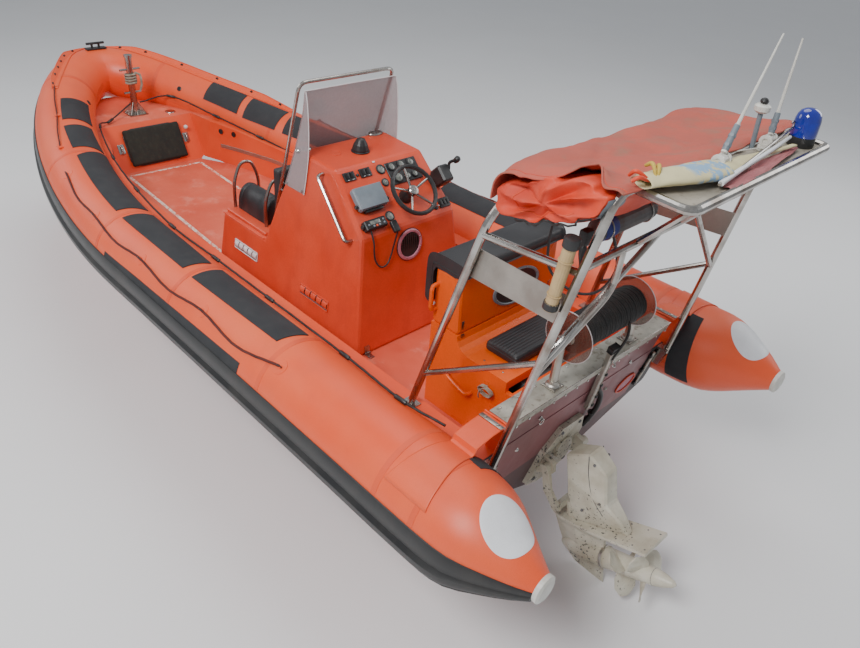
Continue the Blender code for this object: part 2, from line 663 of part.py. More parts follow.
# Document tube clipped outside the port frame
a, b = Vector((-0.7799, -0.117, 1.308)), Vector((-0.7799, -0.160, 1.648))
lathe("flare_tube", a, b - a, ((0.0, 0.033), (0.035, 0.033), (0.036, 0.029), (0.310, 0.029),
                               (0.311, 0.034), (0.3467, 0.034)), "tan", 16)

# Bow fittings
post = box("bow_post", (-0.09, 0.09), (5.48, 5.66), (0.4105, 0.420), "steel")
join(post, rod("shaft", (0, 5.57, 0.415), (0, 5.57, 0.960), 0.032, "steel", 16))
join(post, rod("top", (0, 5.57, 0.955), (0, 5.57, 0.975), 0.040, "steel", 16))
for z, x in ((0.84, 0.10), (0.62, 0.085)):
    join(post, rod("pin", (-x, 5.57, z), (x, 5.57, z), 0.011, "steel", 8))
for t in range(4):
    a = pi / 4 + t * pi / 2
    d = Vector((cos(a), sin(a), 0))
    n = Vector((-sin(a), cos(a), 0)) * 0.004
    c = Vector((0, 5.57, 0))
    web = [c + d * 0.02 + Vector((0, 0, 0.417)), c + d * 0.105 + Vector((0, 0, 0.417)),
           c + d * 0.105 + Vector((0, 0, 0.43)), c + d * 0.034 + Vector((0, 0, 0.53)),
           c + d * 0.02 + Vector((0, 0, 0.53))]
    join(post, loft("web", [[p - n for p in web], [p + n for p in web]], "steel"))

CLEAT_Y = 6.315
CLEAT_Z = TUBE_Z + BOW_RISE + TUBE_BOW_R + 0.0004
cleat = box("bow_cleat", (-0.10, 0.10), (CLEAT_Y - 0.035, CLEAT_Y + 0.035), (CLEAT_Z, CLEAT_Z + 0.012), "black")
for x in (-0.035, 0.035):
    join(cleat, rod("stem", (x, CLEAT_Y, CLEAT_Z + 0.01), (x, CLEAT_Y, CLEAT_Z + 0.055), 0.012, "black", 8))
join(cleat, rod("horn", (-0.09, CLEAT_Y, CLEAT_Z + 0.055), (0.09, CLEAT_Y, CLEAT_Z + 0.055), 0.012, "black", 8))

# Locker cover, a padded lid leaning on the aft face of the bow step
rings = []
slope = 0.22 / 0.41
for out in (0.0006, 0.045):
    rings.append([(x, 5.12 + slope * z - out, z + out * slope) for x, z in
                  ((-0.288, 0.045), (0.288, 0.045), (0.288, 0.355), (-0.288, 0.355))])
pad = loft("bow_locker_cover", rings, "black")
soften(pad, 0.012, 1)

# Stern drive, drawn level about its own corner and then trimmed up
TRIM = radians(21.0)
E_AFT = Vector((0.0, -cos(TRIM), sin(TRIM)))
E_UP = Vector((0.0, sin(TRIM), cos(TRIM)))


def drive(a, h, x=0.0):
    return E_AFT * a + E_UP * h + Vector((x, 0, 0))


def transom_y(z):
    return TRANSOM_RAKE * (TRANSOM_TOP - z)


SHIELD = ((-0.10, 0.12), (0.10, 0.12), (0.185, -0.05), (0.195, -0.36), (0.06, -0.42), (-0.06, -0.42),
          (-0.195, -0.36), (-0.185, -0.05))
shield = loft("drive_shield", [[(x, transom_y(z) - off, z) for x, z in SHIELD] for off in (0.0006, 0.035)],
              "white")
for s in (-1, 1):
    ear = [(transom_y(-0.13) - 0.03, -0.08), (transom_y(-0.13) - 0.115, -0.10), (transom_y(-0.13) - 0.125, -0.17),
           (transom_y(-0.22) - 0.03, -0.24)]
    join(shield, loft("ear", [[(s * x, y, z) for y, z in ear] for x in (0.135, 0.1662)], "white"))
    join(shield, rod("pin", (s * 0.15, transom_y(-0.14) - 0.085, -0.14), (s * 0.2045, transom_y(-0.14) - 0.085, -0.14),
                     0.0120, "white", 14))
join(shield, lathe("bellows", (0, transom_y(-0.10) - 0.03, -0.10), (0, -1, 0.05), ((0.0, 0.075), (0.035, 0.075)),
                   "black", 14))

TILT = Vector((0.0, transom_y(-0.14) - 0.085, -0.14))
LOW = drive(-0.155, -0.455)
STEER_A = -0.110
ARM = (
    # share of the way down, inner x
    (0.00, 0.168), (0.45, 0.168), (1.00, 0.092),
)
ARM_WIDE = 0.022
fork = loft("drive_fork", [[(x, LOW.y + dy, LOW.z + dz) for dy, dz in
                            ((0.024, -0.016), (-0.020, 0.020), (-0.004, 0.046), (0.042, 0.010))]
                           for x in (-0.113, 0.113)], "white")
join(fork, lathe("boss", drive(STEER_A, -0.4625), E_UP, ((0.0, 0.040), (0.046, 0.040)), "white", 20),
     rod("pin", drive(STEER_A, -0.450), drive(STEER_A, -0.510), 0.0140, "white", 14))
for s in (-1, 1):
    rings = []
    for share, inner in ARM:
        c = TILT.lerp(LOW, share)
        rings.append([(s * (inner + wide), c.y + dy, c.z + dz) for wide, dy, dz in
                      ((0.0, 0.024, -0.015), (0.0, -0.024, 0.015), (ARM_WIDE, -0.024, 0.015),
                       (ARM_WIDE, 0.024, -0.015))])
    join(fork, loft("arm", rings, "white"),
         rod("eye", TILT + Vector((s * 0.1665, 0, 0)), TILT + Vector((s * 0.205, 0, 0)), 0.030, "white", 14))
    cut(fork, rod("bore", TILT + Vector((s * 0.15, 0, 0)), TILT + Vector((s * 0.22, 0, 0)), 0.0127, "white", 14))

UPPER = ((-0.050, -0.045), (0.125, -0.012), (0.215, -0.128), (0.190, -0.342), (0.262, -0.440), (0.300, -0.528),
         (-0.085, -0.528), (-0.085, -0.330), (-0.055, -0.200))
UPPER_HALF = (0.078, 0.070, 0.060, 0.062, 0.040, 0.030, 0.050, 0.075, 0.085)
leg = loft("drive_leg", [[drive(a, h, s * w) for (a, h), w in zip(UPPER, UPPER_HALF)] for s in (-1, 1)], "white")
soften(leg, 0.012, 1)
PLATE = ((-0.286, 0.012), (-0.180, 0.070), (0.05, 0.105), (0.463, 0.120))
rings = []
for h in (-0.520, -0.540):
    port = [drive(a, h, -w) for a, w in PLATE]
    rings.append(port + [drive(a, h, w) for a, w in reversed(PLATE)])
join(leg, loft("plate", rings, "white"))
rows = [
    [(-0.270, -0.530, 0.004), (-0.09, -0.530, 0.045), (0.112, -0.530, 0.010)],
    [(-0.245, -0.680, 0.004), (-0.08, -0.680, 0.048), (0.096, -0.680, 0.012)],
    [(-0.222, -0.800, 0.004), (-0.07, -0.800, 0.036), (0.080, -0.800, 0.010)],
    [(-0.155, -0.892, 0.003), (-0.05, -0.892, 0.010), (0.058, -0.892, 0.004)],
    [(0.010, -0.960, 0.003), (0.030, -0.965, 0.004), (0.048, -0.970, 0.003)],
]
rings = [[drive(a, h, -w) for a, h, w in row] + [drive(a, h, w) for a, h, w in reversed(row)] for row in rows]
join(leg, loft("blade", rings, "white"))
cut(leg, lathe("room", drive(STEER_A, -0.4630), E_UP, ((0.0, 0.050), (0.057, 0.050)), "white", 20))
join(leg, lathe("lug", drive(STEER_A, -0.5300), E_UP, ((0.0, 0.040), (0.067, 0.040)), "white", 20))
cut(leg, rod("bore", drive(STEER_A, -0.5150), drive(STEER_A, -0.450), 0.0147, "white", 14))
SHAFT_H = -0.762
join(leg, lathe("torpedo", drive(0, SHAFT_H), E_AFT,
                ((-0.235, 0.012), (-0.215, 0.030), (-0.150, 0.056), (-0.05, 0.068), (0.105, 0.070)), "white", 20))


BLADE = (
    # share of the way to the tip, chord, pitch in degrees
    (0.00, 0.092, 52), (0.36, 0.135, 40), (0.72, 0.141, 28), (1.00, 0.067, 22),
)
FOIL = ((-0.5, 0.0), (-0.225, 0.005), (0.225, 0.005), (0.5, 0.0), (0.225, -0.005), (-0.225, -0.005))


def propeller(name, hub, middle, blades, radius, hand, first):
    # hub: (distance along the shaft, radius); hand: +1 or -1; first: degrees of the first blade
    prop = lathe(name, drive(0, SHAFT_H), E_AFT, hub, "white", 20)
    root = min(r for d, r in hub[:2]) - 0.012
    for k in range(blades):
        base = radians(first) + 2 * pi * k / blades
        rings = []
        for share, chord, pitch in BLADE:
            r = root + (radius - root) * share
            ring = []
            for c, t in FOIL:
                along = c * chord * sin(radians(pitch)) + t * cos(radians(pitch))
                across = c * chord * cos(radians(pitch)) - t * sin(radians(pitch))
                ang = base + hand * across / r
                ring.append(drive(middle + along, SHAFT_H + r * sin(ang), r * cos(ang)))
            rings.append(ring)
        join(prop, loft("fin", rings, "white"))
    return prop


propeller("propeller_front", ((0.1055, 0.066), (0.2950, 0.060)), 0.235, 3, 0.200, 1, 17)
propeller("propeller_rear", ((0.2960, 0.060), (0.4250, 0.054), (0.450, 0.051), (0.500, 0.040), (0.550, 0.022),
                             (0.566, 0.008)), 0.360, 3, 0.175, -1, 5)

# A moving piece has its origin on the axis that it turns about
PIVOTS = {
    "forward_seat_lid": (0, 3.135, 0.4055), "forward_cushion": (0, 3.135, 0.4055),
    "seat_hoop_forward": (0, 3.135, 0.4055), "seat_hoop_aft": (0, 3.135, 0.4055),
    "helm_bench": (0, 0.885, 0.5805), "helm_cushion": (0, 0.885, 0.5805),
    "steering_wheel": WHEEL, "tow_reel": (0.02, REEL_Y, REEL_Z),
    "bow_locker_cover": (0, 5.12 + slope * 0.355 - 0.0225, 0.355 + 0.0225 * slope),
    "antenna_port": (-0.158, -0.385, 1.920), "antenna_starboard": (0.278, -0.385, 1.920),
    "drive_fork": TILT, "drive_leg": drive(STEER_A, -0.463),
    "propeller_front": drive(0.20, SHAFT_H), "propeller_rear": drive(0.36, SHAFT_H),
}
for obj in boat.objects:
    bm = bmesh.new()
    bm.from_mesh(obj.data)
    bmesh.ops.remove_doubles(bm, verts=bm.verts, dist=2e-5)
    bmesh.ops.dissolve_degenerate(bm, edges=bm.edges, dist=1e-5)
    bmesh.ops.triangulate(bm, faces=bm.faces)
    pivot = Vector(PIVOTS[obj.name]) + ORIGIN if obj.name in PIVOTS else Vector((0, 0, 0))
    bmesh.ops.translate(bm, verts=bm.verts, vec=ORIGIN - pivot)
    bm.to_mesh(obj.data)
    bm.free()
    obj.location = pivot
    obj.data.shade_smooth()
    obj.data.set_sharp_from_angle(angle=radians(35))
    obj.data.update()
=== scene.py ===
from math import sin, cos, pi, radians, exp, hypot

import bpy
import bmesh
from mathutils import Vector, Matrix, noise


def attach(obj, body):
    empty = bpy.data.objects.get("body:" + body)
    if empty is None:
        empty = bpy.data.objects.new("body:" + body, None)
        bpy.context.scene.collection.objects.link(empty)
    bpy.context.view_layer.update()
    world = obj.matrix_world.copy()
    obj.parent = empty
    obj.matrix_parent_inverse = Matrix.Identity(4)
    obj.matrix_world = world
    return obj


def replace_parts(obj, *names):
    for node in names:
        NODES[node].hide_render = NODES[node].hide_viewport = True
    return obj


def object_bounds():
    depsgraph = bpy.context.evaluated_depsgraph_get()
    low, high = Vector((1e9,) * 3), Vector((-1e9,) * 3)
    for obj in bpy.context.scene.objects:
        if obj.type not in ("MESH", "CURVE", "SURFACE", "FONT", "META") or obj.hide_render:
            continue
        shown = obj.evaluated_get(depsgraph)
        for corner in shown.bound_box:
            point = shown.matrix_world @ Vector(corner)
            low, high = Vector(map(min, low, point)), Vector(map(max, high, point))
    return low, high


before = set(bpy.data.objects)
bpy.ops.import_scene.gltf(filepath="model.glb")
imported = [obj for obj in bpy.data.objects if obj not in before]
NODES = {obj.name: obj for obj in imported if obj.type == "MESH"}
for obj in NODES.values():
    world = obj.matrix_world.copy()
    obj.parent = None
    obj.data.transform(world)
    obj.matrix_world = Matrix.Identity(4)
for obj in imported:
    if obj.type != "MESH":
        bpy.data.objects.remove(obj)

cad_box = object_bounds()
X, Y, Z = Vector((1, 0, 0)), Vector((0, 1, 0)), Vector((0, 0, 1))
SIDES = ((-1, "port"), (1, "starboard"))

# Sizes are in metres from the top aft edge of the transom, the deck and the centre plane,
# as in the CAD source. ORIGIN moves them into the frame.
ORIGIN = Vector((0.0, -2.8, 0.1))

# Camera: the photograph's own viewpoint
EYE = Vector((-3.05145, -4.37453, 3.02137))
RIGHT = Vector((0.71949725, -0.69024221, 0.07674248))
UP = Vector((0.33574464, 0.44243173, 0.83158265))
AHEAD = Vector((0.60794675, 0.57255555, -0.55007353))
FOCAL_PX, WIDTH_PX, SENSOR = 736.018, 860, 36.0
camera = bpy.data.objects.new("camera", bpy.data.cameras.new("camera"))
camera.data.sensor_width = SENSOR
camera.data.lens = SENSOR * FOCAL_PX / WIDTH_PX
camera.data.clip_end = 300.0
camera.matrix_world = Matrix([(*[v[k] for v in (RIGHT, UP, -AHEAD, EYE)],) for k in range(3)] +
    [(0, 0, 0, 1)])
bpy.context.scene.collection.objects.link(camera)
bpy.context.scene.camera = camera


# Materials
class Paint:
    """Builds one procedural material, with patterns in the object's own coordinates."""

    def __init__(self, name, slot, **settings):
        self.mat = bpy.data.materials.new(name)
        self.mat.use_nodes = True
        self.mat["slot"] = slot
        self.tree = self.mat.node_tree
        self.shader = self.tree.nodes["Principled BSDF"]
        for key, value in settings.items():
            self.shader.inputs[key].default_value = value
        self.place = self.node("ShaderNodeTexCoord").outputs["Object"]

    def node(self, kind, **inputs):
        made = self.tree.nodes.new(kind)
        for key, value in inputs.items():
            self.feed(made.inputs[key.replace("_", " ")], value)
        return made

    def feed(self, socket, value):
        if isinstance(value, bpy.types.NodeSocket):
            self.tree.links.new(value, socket)
        else:
            plain_colour = isinstance(value, tuple) and len(value) == 3 and socket.type == "RGBA"
            socket.default_value = (*value, 1.0) if plain_colour else value

    def noise(self, scale, detail=5.0, stretch=None, rough=0.55):
        place = self.place
        if stretch:
            place = self.node("ShaderNodeMapping", Vector=place, Scale=stretch).outputs["Vector"]
        return self.node("ShaderNodeTexNoise", Vector=place, Scale=scale, Detail=detail,
            Roughness=rough).outputs["Fac"]

    def cells(self, scale):
        return self.node("ShaderNodeTexVoronoi", Vector=self.place, Scale=scale).outputs["Distance"]

    def range(self, value, low, high, to_low=0.0, to_high=1.0):
        made = self.node("ShaderNodeMapRange", Value=value)
        for key, number in (("From Min", low), ("From Max", high), ("To Min", to_low),
                ("To Max", to_high)):
            made.inputs[key].default_value = number
        return made.outputs["Result"]

    def maths(self, what, a, b=0.0, c=0.0):
        made = self.tree.nodes.new("ShaderNodeMath")
        made.operation = what
        for socket, value in zip(made.inputs, (a, b, c)):
            self.feed(socket, value)
        return made.outputs["Value"]

    def mix(self, share, a, b):
        made = self.tree.nodes.new("ShaderNodeMix")
        made.data_type = "RGBA"
        for index, value in ((0, share), (6, a), (7, b)):
            self.feed(made.inputs[index], value)
        return made.outputs[2]

    def xyz(self):
        made = self.node("ShaderNodeSeparateXYZ", Vector=self.place)
        return [made.outputs[k] for k in range(3)]

    def finish(self, colour, rough=None, height=None, depth=0.001, strength=0.5):
        self.feed(self.shader.inputs["Base Color"], colour)
        if rough is not None:
            self.feed(self.shader.inputs["Roughness"], rough)
        if height is not None:
            bump = self.node("ShaderNodeBump", Height=height, Strength=strength, Distance=depth)
            self.feed(self.shader.inputs["Normal"], bump.outputs["Normal"])
        return self.mat


def coated(name, slot, base, worn, rough, patch=2.0, grain=300.0, depth=0.0006, dirt=None, dirt_share=0.5,
        weave=0.0, **settings):
    """A surface with broad colour drift, fine grain and, where asked, streaks of dirt and a weave."""
    p = Paint(name, slot, **settings)
    broad = p.noise(patch, 6.0)
    fine = p.noise(grain, 3.0)
    colour = p.mix(p.range(broad, 0.36, 0.68), base, worn)
    colour = p.mix(p.range(fine, 0.3, 0.7, 0.0, 0.16), colour, tuple(0.45 * c for c in base))
    if dirt:
        streak = p.noise(patch * 2.2, 8.0, (1.0, 1.0, 0.35), 0.65)
        colour = p.mix(p.range(streak, 0.5, 0.74, 0.0, dirt_share), colour, dirt)
    height = fine
    if weave:
        height = p.maths("ADD", p.maths("MULTIPLY", fine, 0.4), p.maths("MULTIPLY", p.cells(weave), 0.8))
    return p.finish(colour, p.range(broad, 0.3, 0.7, rough - 0.07, rough + 0.09), height, depth)


TUBE = coated("tube_cloth", "tube_fabric", (0.84, 0.09, 0.022), (0.86, 0.135, 0.045), 0.4, 1.3, 260.0,
    0.0005, (0.6, 0.085, 0.04), 0.35, 900.0)
SEAM = coated("tube_seam", "tube_fabric", (0.74, 0.075, 0.02), (0.8, 0.11, 0.035), 0.46, 3.0, 320.0,
    0.0006, (0.45, 0.06, 0.03), 0.4, 900.0)
GEL = coated("console_gel", "orange_hull", (0.66, 0.06, 0.02), (0.76, 0.095, 0.038), 0.36, 2.4, 90.0,
    0.0003, (0.5, 0.055, 0.028), 0.55)
BRIGHT = coated("box_gel", "orange_hull", (0.84, 0.105, 0.004), (0.78, 0.12, 0.012), 0.3, 2.0, 90.0,
    0.0003, (0.62, 0.07, 0.008), 0.45)
COVER = coated("cover_cloth", "cover_fabric", (0.54, 0.095, 0.06), (0.4, 0.095, 0.068), 0.72, 3.2, 420.0,
    0.0008, (0.24, 0.15, 0.1), 0.7, 700.0)
BAG = coated("bag_cloth", "cover_fabric", (0.78, 0.07, 0.022), (0.6, 0.05, 0.022), 0.55, 4.0, 300.0,
    0.0006, (0.4, 0.07, 0.04), 0.45, 800.0)
RUBBER = coated("rubber", "black_rubber", (0.014, 0.014, 0.015), (0.03, 0.029, 0.028), 0.36, 2.5, 200.0,
    0.0005, (0.06, 0.052, 0.045), 0.35)
GRIP = coated("grip_pad", "black_rubber", (0.02, 0.021, 0.024), (0.034, 0.035, 0.038), 0.8, 6.0, 420.0,
    0.0016, (0.055, 0.05, 0.05), 0.3, 500.0)
VINYL = coated("vinyl", "black_vinyl", (0.017, 0.017, 0.019), (0.032, 0.032, 0.034), 0.47, 4.0, 240.0,
    0.0007, (0.055, 0.052, 0.05), 0.3, 420.0)
BLACK = coated("black_moulding", "black_plastic", (0.016, 0.016, 0.017), (0.03, 0.03, 0.03), 0.42, 8.0,
    350.0, 0.0004, (0.06, 0.055, 0.05), 0.3)
FELT = coated("locker_skin", "black_vinyl", (0.012, 0.013, 0.01), (0.026, 0.027, 0.02), 0.9, 14.0, 160.0,
    0.005, (0.05, 0.048, 0.035), 0.35)
GREY = coated("grey_moulding", "grey_plastic", (0.17, 0.205, 0.235), (0.215, 0.25, 0.28), 0.45, 8.0,
    400.0, 0.0003, (0.12, 0.13, 0.14), 0.4)
WHITE = coated("white_moulding", "white_plastic", (0.72, 0.71, 0.66), (0.6, 0.58, 0.52), 0.38, 9.0, 300.0,
    0.0003, (0.35, 0.3, 0.22), 0.4)
DISC = coated("white_patch", "white_plastic", (0.8, 0.81, 0.83), (0.73, 0.74, 0.76), 0.42, 5.0, 260.0,
    0.0004, (0.6, 0.58, 0.56), 0.3, 900.0)
TAN = coated("tan_tube", "tan_tube", (0.56, 0.4, 0.2), (0.44, 0.3, 0.14), 0.55, 12.0, 240.0, 0.0005,
    (0.25, 0.17, 0.09), 0.4)
CASTING = coated("engine_casting", "engine_block", (0.16, 0.16, 0.16), (0.1, 0.1, 0.1), 0.55, 9.0, 200.0,
    0.001, (0.1, 0.06, 0.03), 0.5)
LINE_BLACK = coated("line_black", "rope_drum", (0.013, 0.012, 0.012), (0.028, 0.025, 0.022), 0.62, 12.0,
    500.0, 0.0009, (0.05, 0.04, 0.03), 0.4, 800.0)
LINE_RED = coated("line_red", "rope_drum", (0.105, 0.016, 0.01), (0.06, 0.01, 0.008), 0.7, 9.0, 500.0,
    0.0009, (0.03, 0.012, 0.01), 0.5, 800.0)
LINE_GREY = coated("line_grey", "steel", (0.36, 0.32, 0.25), (0.22, 0.18, 0.13), 0.8, 30.0, 500.0, 0.0009,
    (0.12, 0.09, 0.06), 0.5, 800.0)
CLEAR = coated("clear_sheet", "clear_sheet", (0.4, 0.33, 0.335), (0.46, 0.39, 0.395), 0.1, 2.0, 60.0,
    0.0002, (0.4, 0.34, 0.33), 0.5, Alpha=0.58)
EDGE = coated("clear_edge", "clear_sheet", (0.78, 0.74, 0.74), (0.66, 0.62, 0.62), 0.2, 9.0, 90.0, 0.0002)
FLANGE = coated("clear_flange", "clear_sheet", (0.26, 0.1, 0.075), (0.18, 0.085, 0.06), 0.08, 6.0, 60.0,
    0.0002, (0.14, 0.08, 0.05), 0.6, Alpha=0.5)
LENS = coated("blue_lens", "blue_lens", (0.004, 0.012, 0.24), (0.008, 0.03, 0.4), 0.08, 14.0, 160.0,
    0.0005)
LENS.node_tree.nodes["Principled BSDF"].inputs["Coat Weight"].default_value = 1.0
LABEL = coated("blue_label", "blue_lens", (0.02, 0.03, 0.2), (0.03, 0.05, 0.28), 0.55, 18.0, 300.0,
    0.0005, (0.06, 0.06, 0.08), 0.4, 800.0)
YELLOW = coated("yellow_cord", "cover_fabric", (0.62, 0.44, 0.07), (0.5, 0.34, 0.05), 0.7, 20.0, 400.0,
    0.0006)
PINK = coated("pink_cloth", "cover_fabric", (0.36, 0.105, 0.115), (0.46, 0.17, 0.17), 0.75, 7.0, 320.0,
    0.0006, (0.22, 0.09, 0.08), 0.4, 800.0)
RING = coated("vent_ring", "orange_hull", (0.52, 0.2, 0.26), (0.4, 0.13, 0.17), 0.5, 20.0, 300.0, 0.0004)


def steel_material(name, rough, tint, stain):
    p = Paint(name, "steel", Metallic=1.0)
    broad = p.noise(5.0, 6.0)
    brushed = p.noise(60.0, 4.0, (1.0, 1.0, 6.0))
    colour = p.mix(p.range(broad, 0.42, 0.66, 0.0, 0.85), tint, stain)
    colour = p.mix(p.range(brushed, 0.3, 0.7, 0.0, 0.18), colour, (0.3, 0.28, 0.25))
    return p.finish(colour, p.range(broad, 0.3, 0.7, rough - 0.05, rough + 0.14), brushed, 0.0003, 0.25)


STEEL = steel_material("stainless", 0.21, (0.52, 0.5, 0.47), (0.24, 0.19, 0.155))
PLATE = steel_material("brushed_plate", 0.42, (0.5, 0.47, 0.42), (0.36, 0.33, 0.29))


def capping_material():
    p = Paint("capping_sheet", "steel", Metallic=0.45)
    broad, spots = p.noise(7.0, 9.0), p.noise(26.0, 6.0)
    colour = p.mix(p.range(broad, 0.38, 0.64), (0.33, 0.31, 0.26), (0.52, 0.5, 0.43))
    colour = p.mix(p.range(spots, 0.56, 0.68, 0.0, 0.7), colour, (0.17, 0.14, 0.1))
    return p.finish(colour, p.range(spots, 0.3, 0.7, 0.38, 0.62), spots, 0.0008)


def drive_material():
    p = Paint("drive_paint", "drive_white")
    broad, chips, rub = p.noise(6.0, 7.0), p.noise(55.0, 5.0), p.noise(2.5, 8.0)
    colour = p.mix(p.range(broad, 0.38, 0.66), (0.6, 0.57, 0.47), (0.44, 0.4, 0.3))
    colour = p.mix(p.range(rub, 0.55, 0.7, 0.0, 0.55), colour, (0.26, 0.21, 0.14))
    chip = p.range(p.maths("MULTIPLY", chips, p.range(rub, 0.4, 0.62, 0.86, 1.1)), 0.64, 0.66)
    colour = p.mix(chip, colour, (0.075, 0.075, 0.07))
    height = p.maths("SUBTRACT", p.maths("MULTIPLY", broad, 0.4), chip)
    return p.finish(colour, p.range(broad, 0.3, 0.7, 0.34, 0.52), height, 0.0006)


def hull_material():
    p = Paint("hull_gel", "orange_hull")
    x, y, z = p.xyz()
    broad, grit, scuff = p.noise(1.8, 7.0), p.noise(230.0, 2.0), p.noise(4.5, 9.0, (1.0, 1.0, 0.4), 0.68)
    side = p.mix(p.range(broad, 0.38, 0.66), (0.72, 0.068, 0.016), (0.8, 0.105, 0.034))
    deck = p.mix(p.range(broad, 0.34, 0.66), (0.62, 0.085, 0.042), (0.74, 0.15, 0.085))
    deck = p.mix(p.range(scuff, 0.54, 0.72, 0.0, 0.55), deck, (0.84, 0.33, 0.24))
    level = p.range(p.maths("ABSOLUTE", p.maths("SUBTRACT", z, 0.1)), 0.008, 0.004)
    step = p.range(p.maths("ABSOLUTE", p.maths("SUBTRACT", z, 0.51)), 0.008, 0.004)
    colour = p.mix(p.maths("MAXIMUM", level, step), side, deck)
    # Painted shade: the transom, the hull's aft face, is coloured a dark maroon, with a near-black strip
    # at its outboard edges.
    aft = p.range(p.maths("ADD", p.maths("MULTIPLY_ADD", z, 0.23, y), 2.647), 0.012, 0.005)
    shaded_transom = p.mix(p.range(broad, 0.36, 0.66), (0.17, 0.062, 0.066), (0.26, 0.088, 0.092))
    wide = p.range(p.maths("ABSOLUTE", x), 0.738, 0.746)
    shaded_transom = p.mix(wide, shaded_transom, (0.016, 0.014, 0.014))
    colour = p.mix(aft, colour, shaded_transom)
    # Painted shade: the hull darkens to a deep maroon towards the bottom, below the tubes.
    low = p.range(p.maths("MULTIPLY_ADD", scuff, 0.012, z), 0.03, 0.022)
    colour = p.mix(low, colour, p.mix(p.range(scuff, 0.4, 0.7), (0.075, 0.038, 0.042),
        (0.12, 0.065, 0.065)))
    height = p.maths("MULTIPLY", grit, p.range(level, 0.0, 1.0, 0.12, 1.0))
    return p.finish(colour, p.range(scuff, 0.3, 0.7, 0.36, 0.6), height, 0.0016)


def platform_material():
    """Dusty plate inside a bright pipe edge."""
    p = Paint("platform_plate", "steel", Metallic=0.85)
    x, y, z = p.xyz()
    broad, spots = p.noise(6.0, 8.0), p.noise(30.0, 5.0)
    dusty = p.mix(p.range(broad, 0.36, 0.66), (0.3, 0.27, 0.22), (0.42, 0.38, 0.31))
    dusty = p.mix(p.range(spots, 0.56, 0.7, 0.0, 0.5), dusty, (0.16, 0.13, 0.1))
    inside = p.range(p.maths("ABSOLUTE", x), 0.606, 0.6)
    inside = p.maths("MULTIPLY", inside, p.range(p.maths("ABSOLUTE", p.maths("ADD", y, 3.21)), 0.106,
        0.101))
    inside = p.maths("MULTIPLY", inside, p.range(z, 1.957, 1.96))
    p.feed(p.shader.inputs["Metallic"], p.range(inside, 0.0, 1.0, 1.0, 0.15))
    colour = p.mix(inside, p.mix(p.range(broad, 0.42, 0.66), (0.52, 0.5, 0.47), (0.26, 0.21, 0.17)),
        dusty)
    return p.finish(colour, p.range(inside, 0.0, 1.0, 0.24, 0.62), spots, 0.0006, 0.35)


def border_material():
    p = Paint("worn_border", "white_plastic")
    wear, broad = p.noise(38.0, 8.0, None, 0.7), p.noise(4.0, 4.0)
    share = p.range(p.maths("ADD", wear, p.maths("MULTIPLY", broad, 0.5)), 0.66, 0.78)
    colour = p.mix(share, (0.72, 0.15, 0.09), (0.74, 0.66, 0.56))
    return p.finish(colour, p.range(wear, 0.3, 0.7, 0.5, 0.75), wear, 0.0005)


def flag_material():
    p = Paint("flag_cloth", "cover_fabric")
    x, y, z = p.xyz()
    blots, weave = p.noise(26.0, 7.0, None, 0.62), p.cells(900.0)
    cream = p.mix(p.range(p.noise(9.0, 5.0), 0.35, 0.7), (0.66, 0.6, 0.34), (0.55, 0.48, 0.29))
    here = p.range(p.maths("ABSOLUTE", p.maths("ADD", x, 0.33)), 0.13, 0.1)
    share = p.maths("MULTIPLY", here, p.range(blots, 0.47, 0.5))
    colour = p.mix(share, cream, (0.25, 0.4, 0.56))
    return p.finish(colour, p.range(blots, 0.3, 0.7, 0.65, 0.8), weave, 0.0005)


def dial_material():
    p = Paint("dial_glass", "grey_plastic", **{"Coat Weight": 0.8})
    tone, fine = p.noise(40.0, 4.0), p.noise(300.0, 2.0)
    colour = p.mix(p.range(tone, 0.35, 0.7), (0.1, 0.11, 0.1), (0.25, 0.26, 0.23))
    return p.finish(colour, p.range(fine, 0.3, 0.7, 0.12, 0.25), fine, 0.0002)


CAPPING, DRIVE, HULL = capping_material(), drive_material(), hull_material()
BORDER, FLAG, DIAL, PLATFORM = border_material(), flag_material(), dial_material(), platform_material()

FINISH = {
    # CAD node: its material
    "hull": HULL, "transom_capping": CAPPING, "console": GEL, "forward_seat_lid": GEL,
    "engine_box": BRIGHT, "helm_bench": BRIGHT, "engine": CASTING, "tail_cap_port": WHITE,
    "tail_cap_starboard": WHITE, "seat_hoop_forward": STEEL, "seat_hoop_aft": STEEL,
    "windscreen": CLEAR, "windscreen_frame": STEEL, "compass": BLACK, "chartplotter": GREY,
    "radio": BLACK, "gauge_cluster": BLACK, "throttle_control": BLACK, "steering_wheel": RUBBER,
    "steering_column": BLACK, "console_rail": STEEL, "arch": STEEL, "arch_platform": PLATFORM,
    "arch_plate_port": PLATE, "arch_plate_starboard": PLATE, "gas_cylinder": CASTING, "beacon": LENS,
    "antenna_port_mount": WHITE, "antenna_port": WHITE, "antenna_starboard_mount": WHITE,
    "antenna_starboard": WHITE, "gps_mast": GREY, "reel_stand": PLATE, "flare_tube": TAN,
    "bow_post": STEEL, "bow_cleat": BLACK, "drive_shield": DRIVE, "drive_fork": DRIVE,
    "drive_leg": DRIVE, "propeller_front": DRIVE, "propeller_rear": DRIVE,
}
for node, mat in FINISH.items():
    for slot in NODES[node].material_slots:
        slot.material = mat


# Shapes
def piece(name, points, faces, mat, body="hull", angle=38):
    """A new object from points in the script's own units. It rides on a body and keeps its slot."""
    mesh = bpy.data.meshes.new(name)
    mesh.from_pydata([Vector(p) + ORIGIN for p in points], [], faces)
    mesh.materials.append(mat)
    bm = bmesh.new()
    bm.from_mesh(mesh)
    bmesh.ops.recalc_face_normals(bm, faces=bm.faces)
    bm.to_mesh(mesh)
    bm.free()
    mesh.shade_smooth()
    mesh.set_sharp_from_angle(angle=radians(angle))
    obj = bpy.data.objects.new(name, mesh)
    bpy.context.scene.collection.objects.link(obj)
    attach(obj, body)
    return obj


